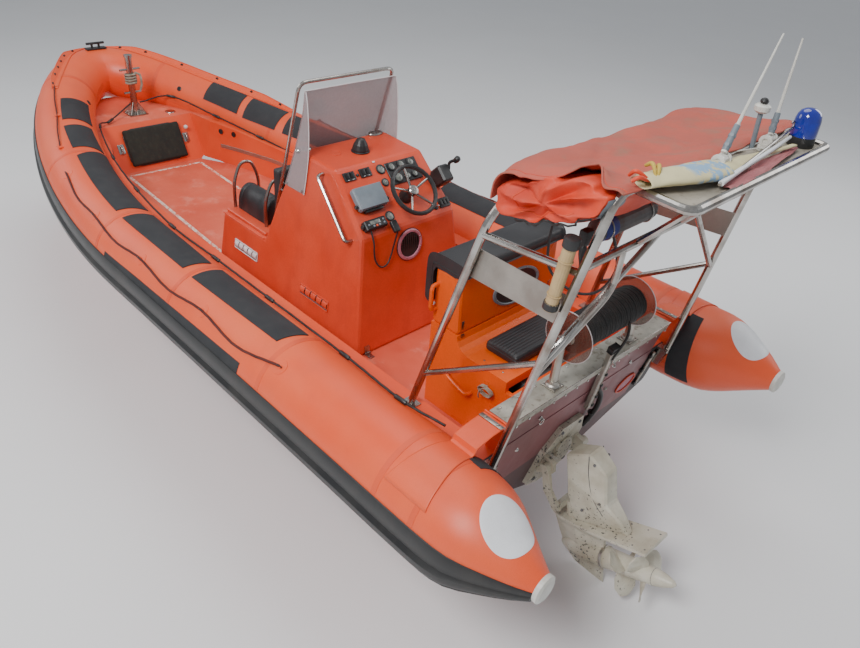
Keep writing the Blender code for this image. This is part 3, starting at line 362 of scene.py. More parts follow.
def grid_faces(rows, columns, wrap=False):
    """Quads between neighbouring rows of points. wrap joins the last column to the first."""
    faces = []
    for i in range(rows - 1):
        for k in range(columns if wrap else columns - 1):
            n = (k + 1) % columns
            faces.append((i * columns + k, i * columns + n, (i + 1) * columns + n, (i + 1) * columns + k))
    return faces


def loft(name, rings, mat, body="hull", closed=True, caps=True, angle=38):
    """Skin over rows of points. closed joins each row into a ring, caps fills the two ends."""
    rows, columns = len(rings), len(rings[0])
    faces = grid_faces(rows, columns, closed)
    if caps:
        faces += [tuple(range(columns)), tuple(range((rows - 1) * columns, rows * columns))]
    return piece(name, [p for ring in rings for p in ring], faces, mat, body, angle)


def thicken(obj, thickness, offset=0.0):
    """Gives an open sheet its thickness, half to each side unless offset says otherwise."""
    shell = obj.modifiers.new("shell", "SOLIDIFY")
    shell.thickness = thickness
    shell.offset = offset
    return obj


def angles(count):
    """Even steps round a circle."""
    return [2 * pi * k / count for k in range(count)]


def curved(points, steps=6):
    """Smooth line through the points."""
    pts = [Vector(p) for p in points]
    pts = [pts[0] * 2 - pts[1]] + pts + [pts[-1] * 2 - pts[-2]]
    line = []
    for a, b, c, d in zip(pts, pts[1:], pts[2:], pts[3:]):
        for k in range(steps):
            t = k / steps
            line.append(0.5 * (2 * b + (c - a) * t + (2 * a - 5 * b + 4 * c - d) * t * t +
                (3 * b - a - 3 * c + d) * t ** 3))
    return line + [pts[-2]]


def spread(points, count):
    """The same line with evenly spaced points."""
    far = [0.0]
    for a, b in zip(points, points[1:]):
        far.append(far[-1] + (b - a).length)
    out, k = [], 0
    for i in range(count):
        d = far[-1] * i / (count - 1)
        while k < len(far) - 2 and far[k + 1] < d:
            k += 1
        out.append(points[k].lerp(points[k + 1], (d - far[k]) / max(1e-9, far[k + 1] - far[k])))
    return out


def across(axis):
    """The unit axis and two directions square to it."""
    axis = Vector(axis).normalized()
    x = axis.cross(Z if abs(axis.z) < 0.95 else Y).normalized()
    return axis, x, axis.cross(x)


def sweep(name, points, radius, mat, body="hull", sides=10, closed=False, strands=0, lay=60.0, caps=True):
    """Round bar, line or tube along the points. radius may be a function of the share covered."""
    pts = [Vector(p) for p in points]
    count = len(pts)
    rings, far = [], 0.0
    side = None
    for i, p in enumerate(pts):
        before = pts[i - 1] if i or closed else p
        after = pts[(i + 1) % count] if i < count - 1 or closed else p
        t = (after - before).normalized()
        side = across(t)[1] if side is None else (side - t * side.dot(t)).normalized()
        other = t.cross(side)
        far += (p - pts[i - 1]).length if i else 0.0
        r = radius(i / (count - 1)) if callable(radius) else radius
        ring = []
        for k in range(sides):
            a = 2 * pi * k / sides
            rr = r * (1 + 0.13 * cos(strands * a - lay * far)) if strands else r
            ring.append(p + side * rr * cos(a) + other * rr * sin(a))
        rings.append(ring)
    if closed:
        rings.append(rings[0])
    return loft(name, rings, mat, body, True, caps and not closed)


def turned(name, centre, axis, profile, mat, body="hull", sides=32):
    """profile: (distance along the axis, radius)"""
    axis, x, y = across(axis)
    centre = Vector(centre)
    line = [(profile[0][0], 0.0005)] + list(profile) + [(profile[-1][0], 0.0005)]
    rings = [[centre + axis * d + (x * cos(a) + y * sin(a)) * r for a in angles(sides)] for d, r in line]
    return loft(name, rings, mat, body)


def block(name, centre, half, mat, body="hull", axes=None, bevel=0.003, steps=2):
    """Rounded block along three axes."""
    ex, ey, ez = axes or (X, Y, Z)
    bm = bmesh.new()
    bmesh.ops.create_cube(bm, size=2.0)
    for v in bm.verts:
        v.co = Vector(centre) + ex * v.co.x * half[0] + ey * v.co.y * half[1] + ez * v.co.z * half[2]
    bmesh.ops.bevel(bm, geom=bm.edges, offset=min(bevel, 0.9 * min(half)), segments=steps, profile=0.6,
        affect="EDGES", clamp_overlap=True)
    points = [v.co.copy() for v in bm.verts]
    faces = [tuple(v.index for v in f.verts) for f in bm.faces]
    bm.free()
    return piece(name, points, faces, mat, body)


def lead(name, points, radius, mat, body, far_end="object", stiffness="medium", lay="hanging", **facts):
    """A free cord, swept along a smooth line through the points."""
    line = spread(curved(points, 8), 12 * len(points))
    made = sweep(name, line, radius, mat, body, 10)
    return made


def wobble(p, scale, seed=0.0):
    """Smooth noise between about -1 and 1, the same in each run."""
    return noise.noise(Vector(p) * scale + Vector((seed, seed * 0.7, -seed)))


# Buoyancy tube
TUBE_X, BOW_START, BOW_LENGTH, BOW_RISE = 1.145, 3.139, 3.2, 0.365
HALF = [(1.161, -0.592, 0.273, 0.067), (1.166, -0.45, 0.274, 0.153), (1.16, -0.25, 0.27, 0.254),
    (1.145, -0.05, 0.258, 0.278)]
HALF += [(TUBE_X, y, 0.258, 0.278) for y in (0.6, 1.3, 2.0, 2.6, BOW_START)]
for k in range(1, 14):
    t = pi / 2 * k / 13
    s = sin(t) ** 1.1
    HALF.append((TUBE_X * cos(t) ** 1.15 if k < 13 else 0.0, BOW_START + BOW_LENGTH * s,
        0.258 + BOW_RISE * s ** 1.96, 0.278 - 0.035 * s))
ROWS = [Vector((-x, y, z, r)) for x, y, z, r in HALF] + [Vector(row) for row in reversed(HALF[:-1])]
FAR = [0.0]
for a, b in zip(ROWS, ROWS[1:]):
    FAR.append(FAR[-1] + (b.xyz - a.xyz).length)
SLOPE = []
for i in range(len(ROWS)):
    lo, hi = max(0, i - 1), min(len(ROWS) - 1, i + 1)
    SLOPE.append((ROWS[hi] - ROWS[lo]) / (FAR[hi] - FAR[lo]))


def tube_row(d):
    """Centre and radius of the tube at distance d from the port tail."""
    d = min(max(d, 0.0), FAR[-1])
    i = max(k for k in range(len(FAR) - 1) if FAR[k] <= d)
    h = FAR[i + 1] - FAR[i]
    t = (d - FAR[i]) / h
    return (ROWS[i] * (2 * t ** 3 - 3 * t * t + 1) + SLOPE[i] * h * (t ** 3 - 2 * t * t + t) +
        ROWS[i + 1] * (3 * t * t - 2 * t ** 3) + SLOPE[i + 1] * h * (t ** 3 - t * t))


def tube_frame(d):
    """Centre, radius, outboard and upward directions of the tube at distance d."""
    row = tube_row(d)
    ahead = (tube_row(d + 0.01) - tube_row(d - 0.01)).xyz.normalized()
    out = Z.cross(ahead).normalized()
    return row.xyz, row[3], out, ahead.cross(out).normalized()


LOOKUP = [(FAR[-1] / 2 * k / 600, tube_row(FAR[-1] / 2 * k / 600).y) for k in range(601)]


def tube_far(side, y):
    """Distance along the tube, from the port tail, of the place at this y. side: -1 port, 1 starboard."""
    k = next((k for k in range(1, len(LOOKUP)) if LOOKUP[k][1] >= y), len(LOOKUP) - 1)
    (near, low), (far, high) = LOOKUP[k - 1], LOOKUP[k]
    d = near + (far - near) * max(0.0, min(1.0, (y - low) / max(1e-9, high - low)))
    return d if side < 0 else FAR[-1] - d


def on_tube(side, y, angle, lift=0.0):
    """angle: degrees round the tube, 0 outboard, 90 on top, 180 inboard"""
    c, r, out, up = tube_frame(tube_far(side, y))
    a = radians(angle)
    return c + (r + lift) * (cos(a) * out + sin(a) * up)


TUBE_STEPS, TUBE_SIDES = 300, 72
rings = []
for i in range(TUBE_STEPS + 1):
    d = FAR[-1] * i / TUBE_STEPS
    c, r, out, up = tube_frame(d)
    ring = []
    for k in range(TUBE_SIDES):
        a = 2 * pi * k / TUBE_SIDES
        swell = 0.0012 * noise.noise(Vector((c.x * 3, c.y * 3, a * 1.5)))
        ring.append(c + (r + swell) * (cos(a) * out + sin(a) * up))
    rings.append(ring)
skin = loft("tube_skin", rings, TUBE)
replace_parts(skin, "buoyancy_tube")

STRAKE = (
    # angle, thickness
    (15.5, 0.001), (15.0, 0.006), (10.0, 0.011), (2.0, 0.012), (-5.0, 0.012), (-7.0, 0.02), (-9.0, 0.033),
    (-14.0, 0.04), (-18.0, 0.036), (-20.0, 0.026), (-21.5, 0.02), (-23.0, 0.025), (-25.0, 0.03),
    (-28.0, 0.026), (-31.0, 0.014), (-33.0, 0.004), (-33.5, -0.004), (-15.0, -0.006), (0.0, -0.006),
    (14.0, -0.006),
)
rings = []
for i in range(221):
    c, r, out, up = tube_frame(FAR[-1] * i / 220)
    slim = min(1.0, 0.4 + 0.6 * (r - 0.067) / 0.211)
    rings.append([c + (r + 0.001 + thick * slim) * (cos(radians(deg)) * out + sin(radians(deg)) * up)
        for deg, thick in STRAKE])
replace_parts(loft("strake_band", rings, RUBBER, angle=30), "rubbing_strake")


def patch(name, side, corners, lift, mat, along=24, around=10, body="hull", edge=0.004):
    """A sheet glued on the tube. corners: (y, angle), fore outer, fore inner, aft inner, aft outer"""
    (ya, aa), (yb, ab), (yc, ac), (yd, ad) = corners

    def at(u, v, h):
        y = (ya * (1 - v) + yb * v) * (1 - u) + (yd * (1 - v) + yc * v) * u
        a = (aa * (1 - v) + ab * v) * (1 - u) + (ad * (1 - v) + ac * v) * u
        return on_tube(side, y, a, h)

    us = [-0.001, 0.0] + [k / along for k in range(along + 1)] + [1.0, 1.001]
    vs = [-0.001, 0.0] + [k / around for k in range(around + 1)] + [1.0, 1.001]
    rows = []
    for i, u in enumerate(us):
        row = []
        for k, v in enumerate(vs):
            rim = min(i, len(us) - 1 - i, k, len(vs) - 1 - k)
            row.append(at(min(max(u, 0), 1), min(max(v, 0), 1), (-0.001, lift * 0.6, lift)[min(rim, 2)]))
        rows.append(row)
    return loft(name, rows, mat, body, False, False)


PADS = (
    # side, fore outer, fore inner, aft inner, aft outer
    (-1, (5.46, 90), (5.54, 147), (5.13, 147), (5.07, 87)),
    (-1, (4.94, 86), (5.03, 141), (4.59, 146), (4.53, 86)),
    (-1, (4.38, 86), (4.56, 150), (3.3, 124), (3.34, 78)),
    (-1, (3.21, 76), (3.19, 122), (2.3, 111), (2.34, 74)),
    (-1, (2.21, 72), (2.19, 114), (1.27, 115), (1.31, 76)),
    (1, (5.35, 98), (5.33, 150), (4.9, 150), (4.94, 97)),
    (1, (4.86, 97), (4.82, 152), (4.4, 147), (4.42, 92)),
    (1, (4.35, 93), (4.29, 146), (3.34, 132), (3.37, 84)),
    (1, (3.21, 80), (3.19, 126), (2.46, 124), (2.49, 80)),
    (1, (2.36, 74), (2.3, 122), (1.27, 119), (1.31, 72)),
)
for n, (side, *corners) in enumerate(PADS):
    patch("grip_pad_%d" % n, side, corners, 0.006, GRIP, 40, 12)


def degrees_of(length, radius):
    """Angle that a length covers on a round of this radius."""
    return length / radius * 180 / pi


SEAM_HALF = 0.017
DISC_Y, DISC_ANGLE, DISC_R = -0.368, 93, 0.136
SEAMS = (5.9, 4.46, 3.26, 2.25, 1.23, 0.24, -0.02)
DISC_RINGS = [(DISC_R * k / 10, 0.0022) for k in range(11)] + [(0.1385, 0.0016), (0.137, -0.001)]


def disc_radius(side, y):
    """Tube radius under the white disc, kept above a least value at the tapered tail."""
    return max(0.06, tube_row(tube_far(side, y))[3])


for side, label in SIDES:
    for n, y in enumerate(SEAMS):
        patch("tube_seam_%s_%d" % (label, n), side, ((y + SEAM_HALF, 16), (y + SEAM_HALF, 205),
            (y - SEAM_HALF, 205), (y - SEAM_HALF, 16)), 0.0014, SEAM, 2, 56)
    patch("tube_tape_" + label, side, ((6.2, 174), (6.2, 186), (-0.02, 204), (-0.02, 192)), 0.0016, SEAM,
        160, 3)
    patch("name_panel_" + label, side, ((3.12, 15.2), (3.12, 22.5), (1.42, 29), (1.42, 15.2)), 0.0022,
        GRIP, 60, 4)
    rows = []
    for reach, lift in DISC_RINGS:
        ring = []
        for t in angles(56):
            y = DISC_Y + reach * cos(t) / 1.14
            ring.append(on_tube(side, y, DISC_ANGLE + degrees_of(reach * sin(t), disc_radius(side, y)),
                lift))
        rows.append(ring)
    loft("tail_disc_" + label, rows, DISC, caps=False)

# Upturned lips at the bow, with lacing eyes and a short line
LIPS = (
    # side, (y, angle) points
    (-1, ((6.345, 60), (6.16, 76), (5.95, 80), (5.66, 76))),
    (1, ((6.335, 62), (6.1, 82), (5.55, 92), (4.95, 86), (4.42, 78))),
)
for side, line in LIPS:
    label = "port" if side < 0 else "starboard"
    base = curved([(y, a, 0.0) for y, a in line], 12)
    rows, top, eyes = [], [], []
    for i, p in enumerate(base):
        c, r, out, up = tube_frame(tube_far(side, p.x))
        a = radians(p.y)
        n = cos(a) * out + sin(a) * up
        foot = c + n * r
        lean = (n * 0.8 + out * 0.6).normalized()
        tall = 0.052 * min(1.0, 0.3 + 4.0 * min(i, len(base) - 1 - i) / len(base))
        inward = (n.cross(out.cross(n))).normalized()
        rows.append([foot - inward * 0.04 + n * 0.001, foot - inward * 0.012 + n * 0.003,
            foot + lean * 0.004, foot + lean * tall * 0.5, foot + lean * tall,
            foot + lean * (tall + 0.003) + out * 0.004])
        top.append(foot + lean * tall)
        eyes.append((foot + lean * tall * 0.55, out))
    thicken(loft("bow_lip_" + label, rows, TUBE, closed=False, caps=False), 0.004)
    sweep("bow_lip_bead_" + label, top, 0.004, SEAM)
    for n in range(6):
        place, out = eyes[int((n + 0.5) * len(eyes) / 6)]
        turned("bow_lip_eye_%s_%d" % (label, n), place - out * 0.006, out,
            ((0.0, 0.014), (0.006, 0.016), (0.012, 0.014), (0.0125, 0.006)), BLACK, sides=16)
BOW_LINE = [on_tube(-1, y, a, h) for y, a, h in ((5.7, 78, 0.014), (5.42, 80, 0.02), (5.15, 80, 0.014),
    (4.85, 74, 0.022), (4.6, 68, 0.012))]
sweep("bow_line", curved(BOW_LINE, 10), 0.0055, LINE_RED, strands=3)
for n, p in enumerate(BOW_LINE[::2]):
    block("bow_line_tab_%d" % n, p - Z * 0.004, (0.02, 0.026, 0.006), TUBE)


# Lines along the tube
def d_ring(name, side, y, angle, size=0.045):
    """D-ring with its strap on a round patch."""
    c, r, out, up = tube_frame(tube_far(side, y))
    a = radians(angle)
    n = cos(a) * out + sin(a) * up
    rows = []
    for reach, lift in ((0.0, 0.004), (0.6, 0.004), (0.94, 0.0035), (1.0, -0.001)):
        rows.append([on_tube(side, y + size * reach * cos(t),
            angle + degrees_of(size * reach * sin(t), r), lift) for t in angles(28)])
    loft(name + "_patch", rows, TUBE, caps=False)
    ahead = out.cross(up)
    mid = on_tube(side, y, angle, 0.01)
    ring = [mid + (ahead * cos(t) * 0.017 + n * (sin(t) * 0.014 + 0.004)) for t in angles(20)]
    sweep(name + "_ring", ring, 0.0035, BLACK, sides=8, closed=True)
    block(name + "_strap", mid - n * 0.004, (0.011, 0.011, 0.004), TUBE, axes=(ahead, n.cross(ahead), n),
        bevel=0.002)


GRAB = ((4.167, 57), (3.8, 49), (3.458, 51), (3.06, 44), (2.702, 48), (2.299, 41), (1.915, 48),
    (1.512, 42), (1.146, 56))
INNER = ((5.365, 176, 0.035), (4.6, 160, 0.045), (3.853, 150, 0.045), (3.05, 138, 0.013),
    (2.464, 140, 0.013), (1.823, 140, 0.013), (1.036, 132, 0.014), (0.524, 122, 0.014),
    (0.249, 132, 0.03))
for side, label in SIDES:
    line = curved([on_tube(side, y, a, 0.014 if n % 2 == 0 else 0.007) for n, (y, a) in enumerate(GRAB)],
        10)
    sweep("grab_line_" + label, line, 0.0075, LINE_RED, strands=3)
    for n, (y, a) in enumerate(GRAB[::2]):
        d_ring("grab_eye_%s_%d" % (label, n), side, y, a)
    inner = [on_tube(side, y, a, h) for y, a, h in INNER]
    if side < 0:
        inner[0:0] = [Vector((-0.05, 5.55, 0.52)), Vector((-0.33, 5.4, 0.44))]
    else:
        inner = [on_tube(side, y, 172, 0.02) for y in (5.68, 5.12, 4.53, 3.95, 3.2, 2.4, 1.6, 0.8, 0.25)]
        inner[0:0] = [Vector((0.05, 5.55, 0.52))]
    sweep("life_line_" + label, curved(inner, 10), 0.007, LINE_BLACK, strands=3)
    for n, p in enumerate(inner[1:-1]):
        q = inner[n + 2]
        t = (q - inner[n]).normalized()
        sweep("life_line_sleeve_%s_%d" % (label, n), [p - t * 0.045, p - t * 0.04, p + t * 0.04,
            p + t * 0.045], lambda s: 0.013 if 0.1 < s < 0.9 else 0.009, RUBBER, sides=12)
    for n, (y, a) in enumerate(((5.62, 150), (2.75, 168), (0.75, 168))):
        c, r, out, up = tube_frame(tube_far(side, y))
        d = cos(radians(a)) * out + sin(radians(a)) * up
        turned("valve_%s_%d" % (label, n), on_tube(side, y, a, -0.001), d,
            ((0.0, 0.024), (0.004, 0.024), (0.006, 0.019), (0.0065, 0.016), (0.003, 0.015),
            (0.003, 0.006), (0.008, 0.005)), BLACK, sides=24)

# Flap from the transom capping over each tube, with a bolted strip
for side, label in SIDES:
    rows = []
    for k in range(25):
        v = k / 24
        row = []
        for m in range(37):
            u = m / 36
            if u < 0.42:
                s = u / 0.42
                wide = 0.075
                p = Vector((side * (0.772 + 0.235 * s), 0.065 + wide * (2 * v - 1),
                    0.57 - 0.03 * s + 0.01 * sin(pi * s) + 0.002 * wobble((s * 3, v * 4, side), 2.0)))
                if side * p.x > 1.0:
                    p = p.lerp(on_tube(side, p.y, 122, 0.004), (side * p.x - 1.0) / 0.01)
            else:
                s = (u - 0.42) / 0.58
                wide = 0.075 + 0.075 * s ** 1.5
                p = on_tube(side, 0.065 + wide * (2 * v - 1), 120 - 82 * s, 0.0045)
            row.append(p)
        rows.append(row)
    thicken(loft("transom_flap_" + label, rows, TUBE, closed=False, caps=False), 0.0045)
    edge = [Vector((side * 0.774, y, 0.577 + 0.002 * sin(40 * y)))
        for y in (-0.012, 0.02, 0.06, 0.1, 0.142)]
    sweep("transom_flap_bead_" + label, edge, 0.0055, TUBE)
    block("transom_strip_" + label, (side * 0.812, 0.065, 0.5755), (0.014, 0.074, 0.0022), STEEL,
        bevel=0.001)
    for n, y in enumerate((0.025, 0.105)):
        turned("transom_strip_bolt_%s_%d" % (label, n), (side * 0.812, y, 0.577), Z,
            ((0.0, 0.009), (0.004, 0.009), (0.006, 0.005)), PLATE, sides=6)

for side, label in SIDES:
    patch("tube_band_" + label, side, ((0.0, 112), (0.0, 214), (-0.13, 214), (-0.095, 112)), 0.004, GRIP,
        8, 30)

# Cockpit
BORDER_LINE = ((-0.45, 3.22), (-0.365, 5.065), (0.365, 5.035), (0.337, 4.3), (0.33, 3.22))
for n, (a, b) in enumerate(zip(BORDER_LINE, BORDER_LINE[1:])):
    a, b = Vector((*a, 0.0)), Vector((*b, 0.0))
    t = (b - a).normalized()
    s = Z.cross(t) * 0.014
    rows = []
    for k in range(61):
        p = a.lerp(b, k / 60)
        wave = 0.004 * wobble(p, 9.0, n)
        rows.append([p - s * (1 + 12 * wave) + Z * 0.0002, p - s + Z * 0.0009, p + s + Z * 0.0009,
            p + s * (1 - 14 * wave) + Z * 0.0002])
    loft("deck_border_%d" % n, rows, BORDER, closed=False, caps=False)
for side, label in SIDES:
    wall = [Vector((side * (x - 0.0045), y, z)) for y, x, z in ((4.92, 0.548, 0.175), (4.7, 0.62, 0.18),
        (4.3, 0.71, 0.195), (3.9, 0.748, 0.215), (3.2, 0.748, 0.235), (1.9, 0.748, 0.245),
        (0.6, 0.748, 0.245))]
    rows = [[p + Vector((side * 0.003, 0, -0.019)), p + Z * -0.017, p + Z * 0.017,
        p + Vector((side * 0.003, 0, 0.019))] for p in spread(wall, 60)]
    loft("liner_strip_" + label, rows, PLATE, closed=False, caps=False)
for n, (x, y, z) in enumerate(((0.549, 4.905, 0.325), (0.602, 4.755, 0.33), (-0.549, 4.905, 0.325),
        (-0.602, 4.755, 0.33))):
    turned("liner_hole_%d" % n, (x * 0.999, y - 0.001, z), (-x, -0.18, 0),
        ((0.0, 0.026), (0.005, 0.026), (0.006, 0.02), (0.002, 0.018)), BLACK, sides=24)
turned("step_plate", (0.309, 5.458, 0.4102), Z, ((0.0, 0.052), (0.004, 0.05), (0.007, 0.04),
    (0.008, 0.012)), STEEL)
for k in range(6):
    a = 2 * pi * k / 6
    turned("step_plate_screw_%d" % k, (0.309 + 0.044 * cos(a), 5.458 + 0.044 * sin(a), 0.4142), Z,
        ((0.0, 0.005), (0.002, 0.003)), PLATE, sides=10)


# Padded pieces
def padded_block(name, centre, half, axes, mat, body, corner=0.02, crown=0.0, pinch=0.02, ribs=None,
        seam=True, cuts=22, fuzz=0.0):
    """Crowned pad: its sides pull in between the corners, and a seam runs round it."""
    bm = bmesh.new()
    bmesh.ops.create_cube(bm, size=2.0)
    bmesh.ops.subdivide_edges(bm, edges=bm.edges, cuts=cuts, use_grid_fill=True)
    ex, ey, ez = axes
    for v in bm.verts:
        u = v.co.copy()
        p = Vector([u[k] * half[k] for k in range(3)])
        core = Vector([max(-(half[k] - corner), min(half[k] - corner, p[k])) for k in range(3)])
        push = p - core
        if push.length > 1e-9:
            p = core + push.normalized() * corner
        fall = (1 - u.x * u.x) * (1 - u.y * u.y)
        if u.z > 0:
            p.z += crown * fall ** 0.6
        p.x *= 1 - pinch * (1 - u.y ** 4) * (1 - abs(u.z) ** 6 * 0.5)
        p.y *= 1 - pinch * half[0] / half[1] * 0.6 * (1 - u.x ** 4) * (1 - abs(u.z) ** 6 * 0.5)
        if seam and abs(u.z) < 0.98:
            groove = 0.0035 * exp(-((p.z - half[2] * 0.35) / 0.0035) ** 2)
            p.x -= groove * (1 if u.x > 0 else -1) * (abs(u.x) > 0.98)
            p.y -= groove * (1 if u.y > 0 else -1) * (abs(u.y) > 0.98)
        if ribs and u.z > 0.98 and abs(u.x) < 0.97 and abs(u.y) < 0.97:
            p.z -= ribs[1] * (1 - abs(sin(pi * (p[ribs[2]] / ribs[0] + 0.5)))) ** 1.6
        if fuzz:
            p *= 1 + fuzz * wobble(p, 45.0)
        v.co = Vector(centre) + ex * p.x + ey * p.y + ez * p.z
    points = [v.co.copy() for v in bm.verts]
    faces = [tuple(v.index for v in f.verts) for f in bm.faces]
    bm.free()
    made = piece(name, points, faces, mat, body, 60)
    return made


LEVEL = (X, Y, Z)
back = padded_block("forward_back_pad", (-0.2625, 2.557, 0.762), (0.106, 0.166, 0.037), (X, Z, Y), VINYL,
    "hull", 0.026, 0.006, 0.03)
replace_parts(back, "forward_backrest")
for x in (-0.322, -0.202):
    sweep("back_pad_stay_%d" % (x * -1000), [(x, 2.405, 0.83), (x, 2.45, 0.832), (x, 2.53, 0.83)], 0.012,
        STEEL)
seat = padded_block("aft_seat_pad", (0, 0.455, 0.5255), (0.299, 0.119, 0.034), LEVEL, VINYL, "hull",
    0.024, 0.006, 0.015, (0.021, 0.0035, 1), cuts=46)
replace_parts(seat, "aft_cushion")
SLOPE_STEP = 0.22 / 0.41
STEP_OUT = Vector((0, -1, SLOPE_STEP)).normalized()
STEP_UP = Vector((0, SLOPE_STEP, 1)).normalized()
lid_at = Vector((0, 5.12 + SLOPE_STEP * 0.2, 0.2)) + STEP_OUT * 0.0255
lid = padded_block("locker_lid_pad", lid_at, (0.286, 0.174, 0.0245), (X, STEP_UP, STEP_OUT), FELT,
    "locker_cover", 0.022, 0.004, 0.012, seam=False, cuts=40, fuzz=0.012)
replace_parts(lid, "bow_locker_cover")
rim = []
for k in range(96):
    a = 2 * pi * k / 96
    x = 0.288 * max(-1, min(1, 1.22 * cos(a))) * 0.985
    z = 0.176 * max(-1, min(1, 1.22 * sin(a))) * 0.985
    rim.append(lid_at + Vector((x, 0, 0)) + STEP_UP * z + STEP_OUT * -0.01)
sweep("locker_lid_rim", rim, 0.007, RUBBER, "locker_cover", closed=True)
for x in (-0.335, 0.335):
    s = 1 if x > 0 else -1
    at = Vector((x, lid_at.y, lid_at.z)) - STEP_OUT * 0.0245
    block("locker_catch_%s" % ("port" if s < 0 else "starboard"), at + STEP_OUT * 0.003 + STEP_UP * 0.01,
        (0.03, 0.045, 0.0025), STEEL, axes=(X, STEP_UP, STEP_OUT), bevel=0.002)
    sweep("locker_catch_loop_%s" % ("port" if s < 0 else "starboard"),
        curved([at + STEP_UP * 0.045 + STEP_OUT * 0.006, at + STEP_UP * 0.02 + STEP_OUT * 0.022,
        at - STEP_UP * 0.02 + STEP_OUT * 0.022, at - STEP_UP * 0.045 + STEP_OUT * 0.006], 8), 0.005,
        STEEL)
BALL_R = 0.021
turned("locker_ball", Vector((0.345, lid_at.y, lid_at.z)) + STEP_UP * 0.1, STEP_OUT,
    [(0.02 - BALL_R * cos(t), BALL_R * sin(t) + 0.0005) for t in (pi * k / 12 for k in range(1, 12))],
    WHITE)

# Forward saddle cushion: half round, sewn along both ends
SADDLE = Vector((-0.2625, 0, 0.433))
rings = []
for y, r in ((2.7125, 0.06), (2.7127, 0.078), (2.716, 0.088), (2.726, 0.0945), (2.745, 0.0965),
        (2.76, 0.0955), (2.7625, 0.0935), (2.765, 0.0958), (2.85, 0.0975), (2.95, 0.0975), (3.05, 0.0958),
        (3.0525, 0.0935), (3.055, 0.0955), (3.072, 0.0965), (3.092, 0.0945), (3.102, 0.088),
        (3.1052, 0.078), (3.1055, 0.06)):
    ring = []
    for k in range(33):
        t = pi * k / 32
        puff = 1 + 0.012 * wobble((y * 2, cos(t), sin(t)), 2.2)
        ring.append(SADDLE + Vector((r * cos(t) * puff, y, 1.95 * r * sin(t) ** 0.72 * puff)))
    rings.append(ring)
saddle = loft("saddle_pad", rings, VINYL, "forward_seat", angle=60)
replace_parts(saddle, "forward_cushion")

# Helm cushion with its flap over the fore edge of the bench
HELM = [(0.885, 0.722), (0.885, 0.943), (0.676, 0.946), (0.67, 0.955), (0.668, 0.985), (0.676, 1.004),
    (0.694, 1.014), (0.78, 1.021), (0.87, 1.017), (0.905, 1.008), (0.924, 0.99), (0.933, 0.955),
    (0.935, 0.86), (0.932, 0.76), (0.928, 0.728), (0.915, 0.719), (0.898, 0.718)]
outline = [Vector((0, y, z)) for y, z in HELM]
outline = spread(curved(outline + outline[:1], 5), 120)[:-1]
HELM_END = [(-0.439, 0.016), (-0.4385, 0.011), (-0.435, 0.0055), (-0.428, 0.0018), (-0.418, 0.0)]
HELM_ROWS = (HELM_END + [(-0.4 + 0.8 * k / 24, 0.0) for k in range(25)] +
    [(-x, inset) for x, inset in reversed(HELM_END)])
rings = []
for x, inset in HELM_ROWS:
    ring = []
    for i, p in enumerate(outline):
        t = (outline[(i + 1) % len(outline)] - outline[i - 1]).normalized()
        n = Vector((0, t.z, -t.y))
        outer = p.z > 0.95 or p.y > 0.9
        waist = 0.0045 * (1 - (x / 0.44) ** 4) * (p.y > 0.92) * (p.z < 0.97)
        puff = 0.0035 * wobble((x, p.y, p.z), 7.0) * outer - waist
        ring.append(Vector((x, p.y, p.z)) + n * (inset if outer or inset < 0.002 else inset * 0.3) * -1 +
            n * puff)
    rings.append(ring)
helm = loft("helm_pad", rings, VINYL, "helm_seat", angle=60)
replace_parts(helm, "helm_cushion")
seam = [Vector((-0.4395, y, z)) for y, z in ((0.672, 0.962), (0.78, 0.966), (0.89, 0.965), (0.905, 0.95),
    (0.908, 0.85), (0.908, 0.73))]
for s, label in ((1, "port"), (-1, "starboard")):
    sweep("helm_pad_seam_" + label, curved([Vector((p.x * s, p.y, p.z)) for p in seam], 6), 0.0024, BLACK,
        "helm_seat", sides=8)


# Cover and righting bag over the arch
CROWN = ((-0.79, 1.8), (-0.75, 1.812), (-0.66, 1.845), (-0.45, 1.852), (-0.2, 1.836), (0.0, 1.832),
    (0.25, 1.834), (0.45, 1.838), (0.7, 1.852), (0.79, 1.842))


def crown(x):
    """Height of the top of the cover at x."""
    for (xa, a), (xb, b) in zip(CROWN, CROWN[1:]):
        if x <= xb:
            t = (x - xa) / (xb - xa)
            return a + (b - a) * (3 * t * t - 2 * t ** 3)
    return CROWN[-1][1]


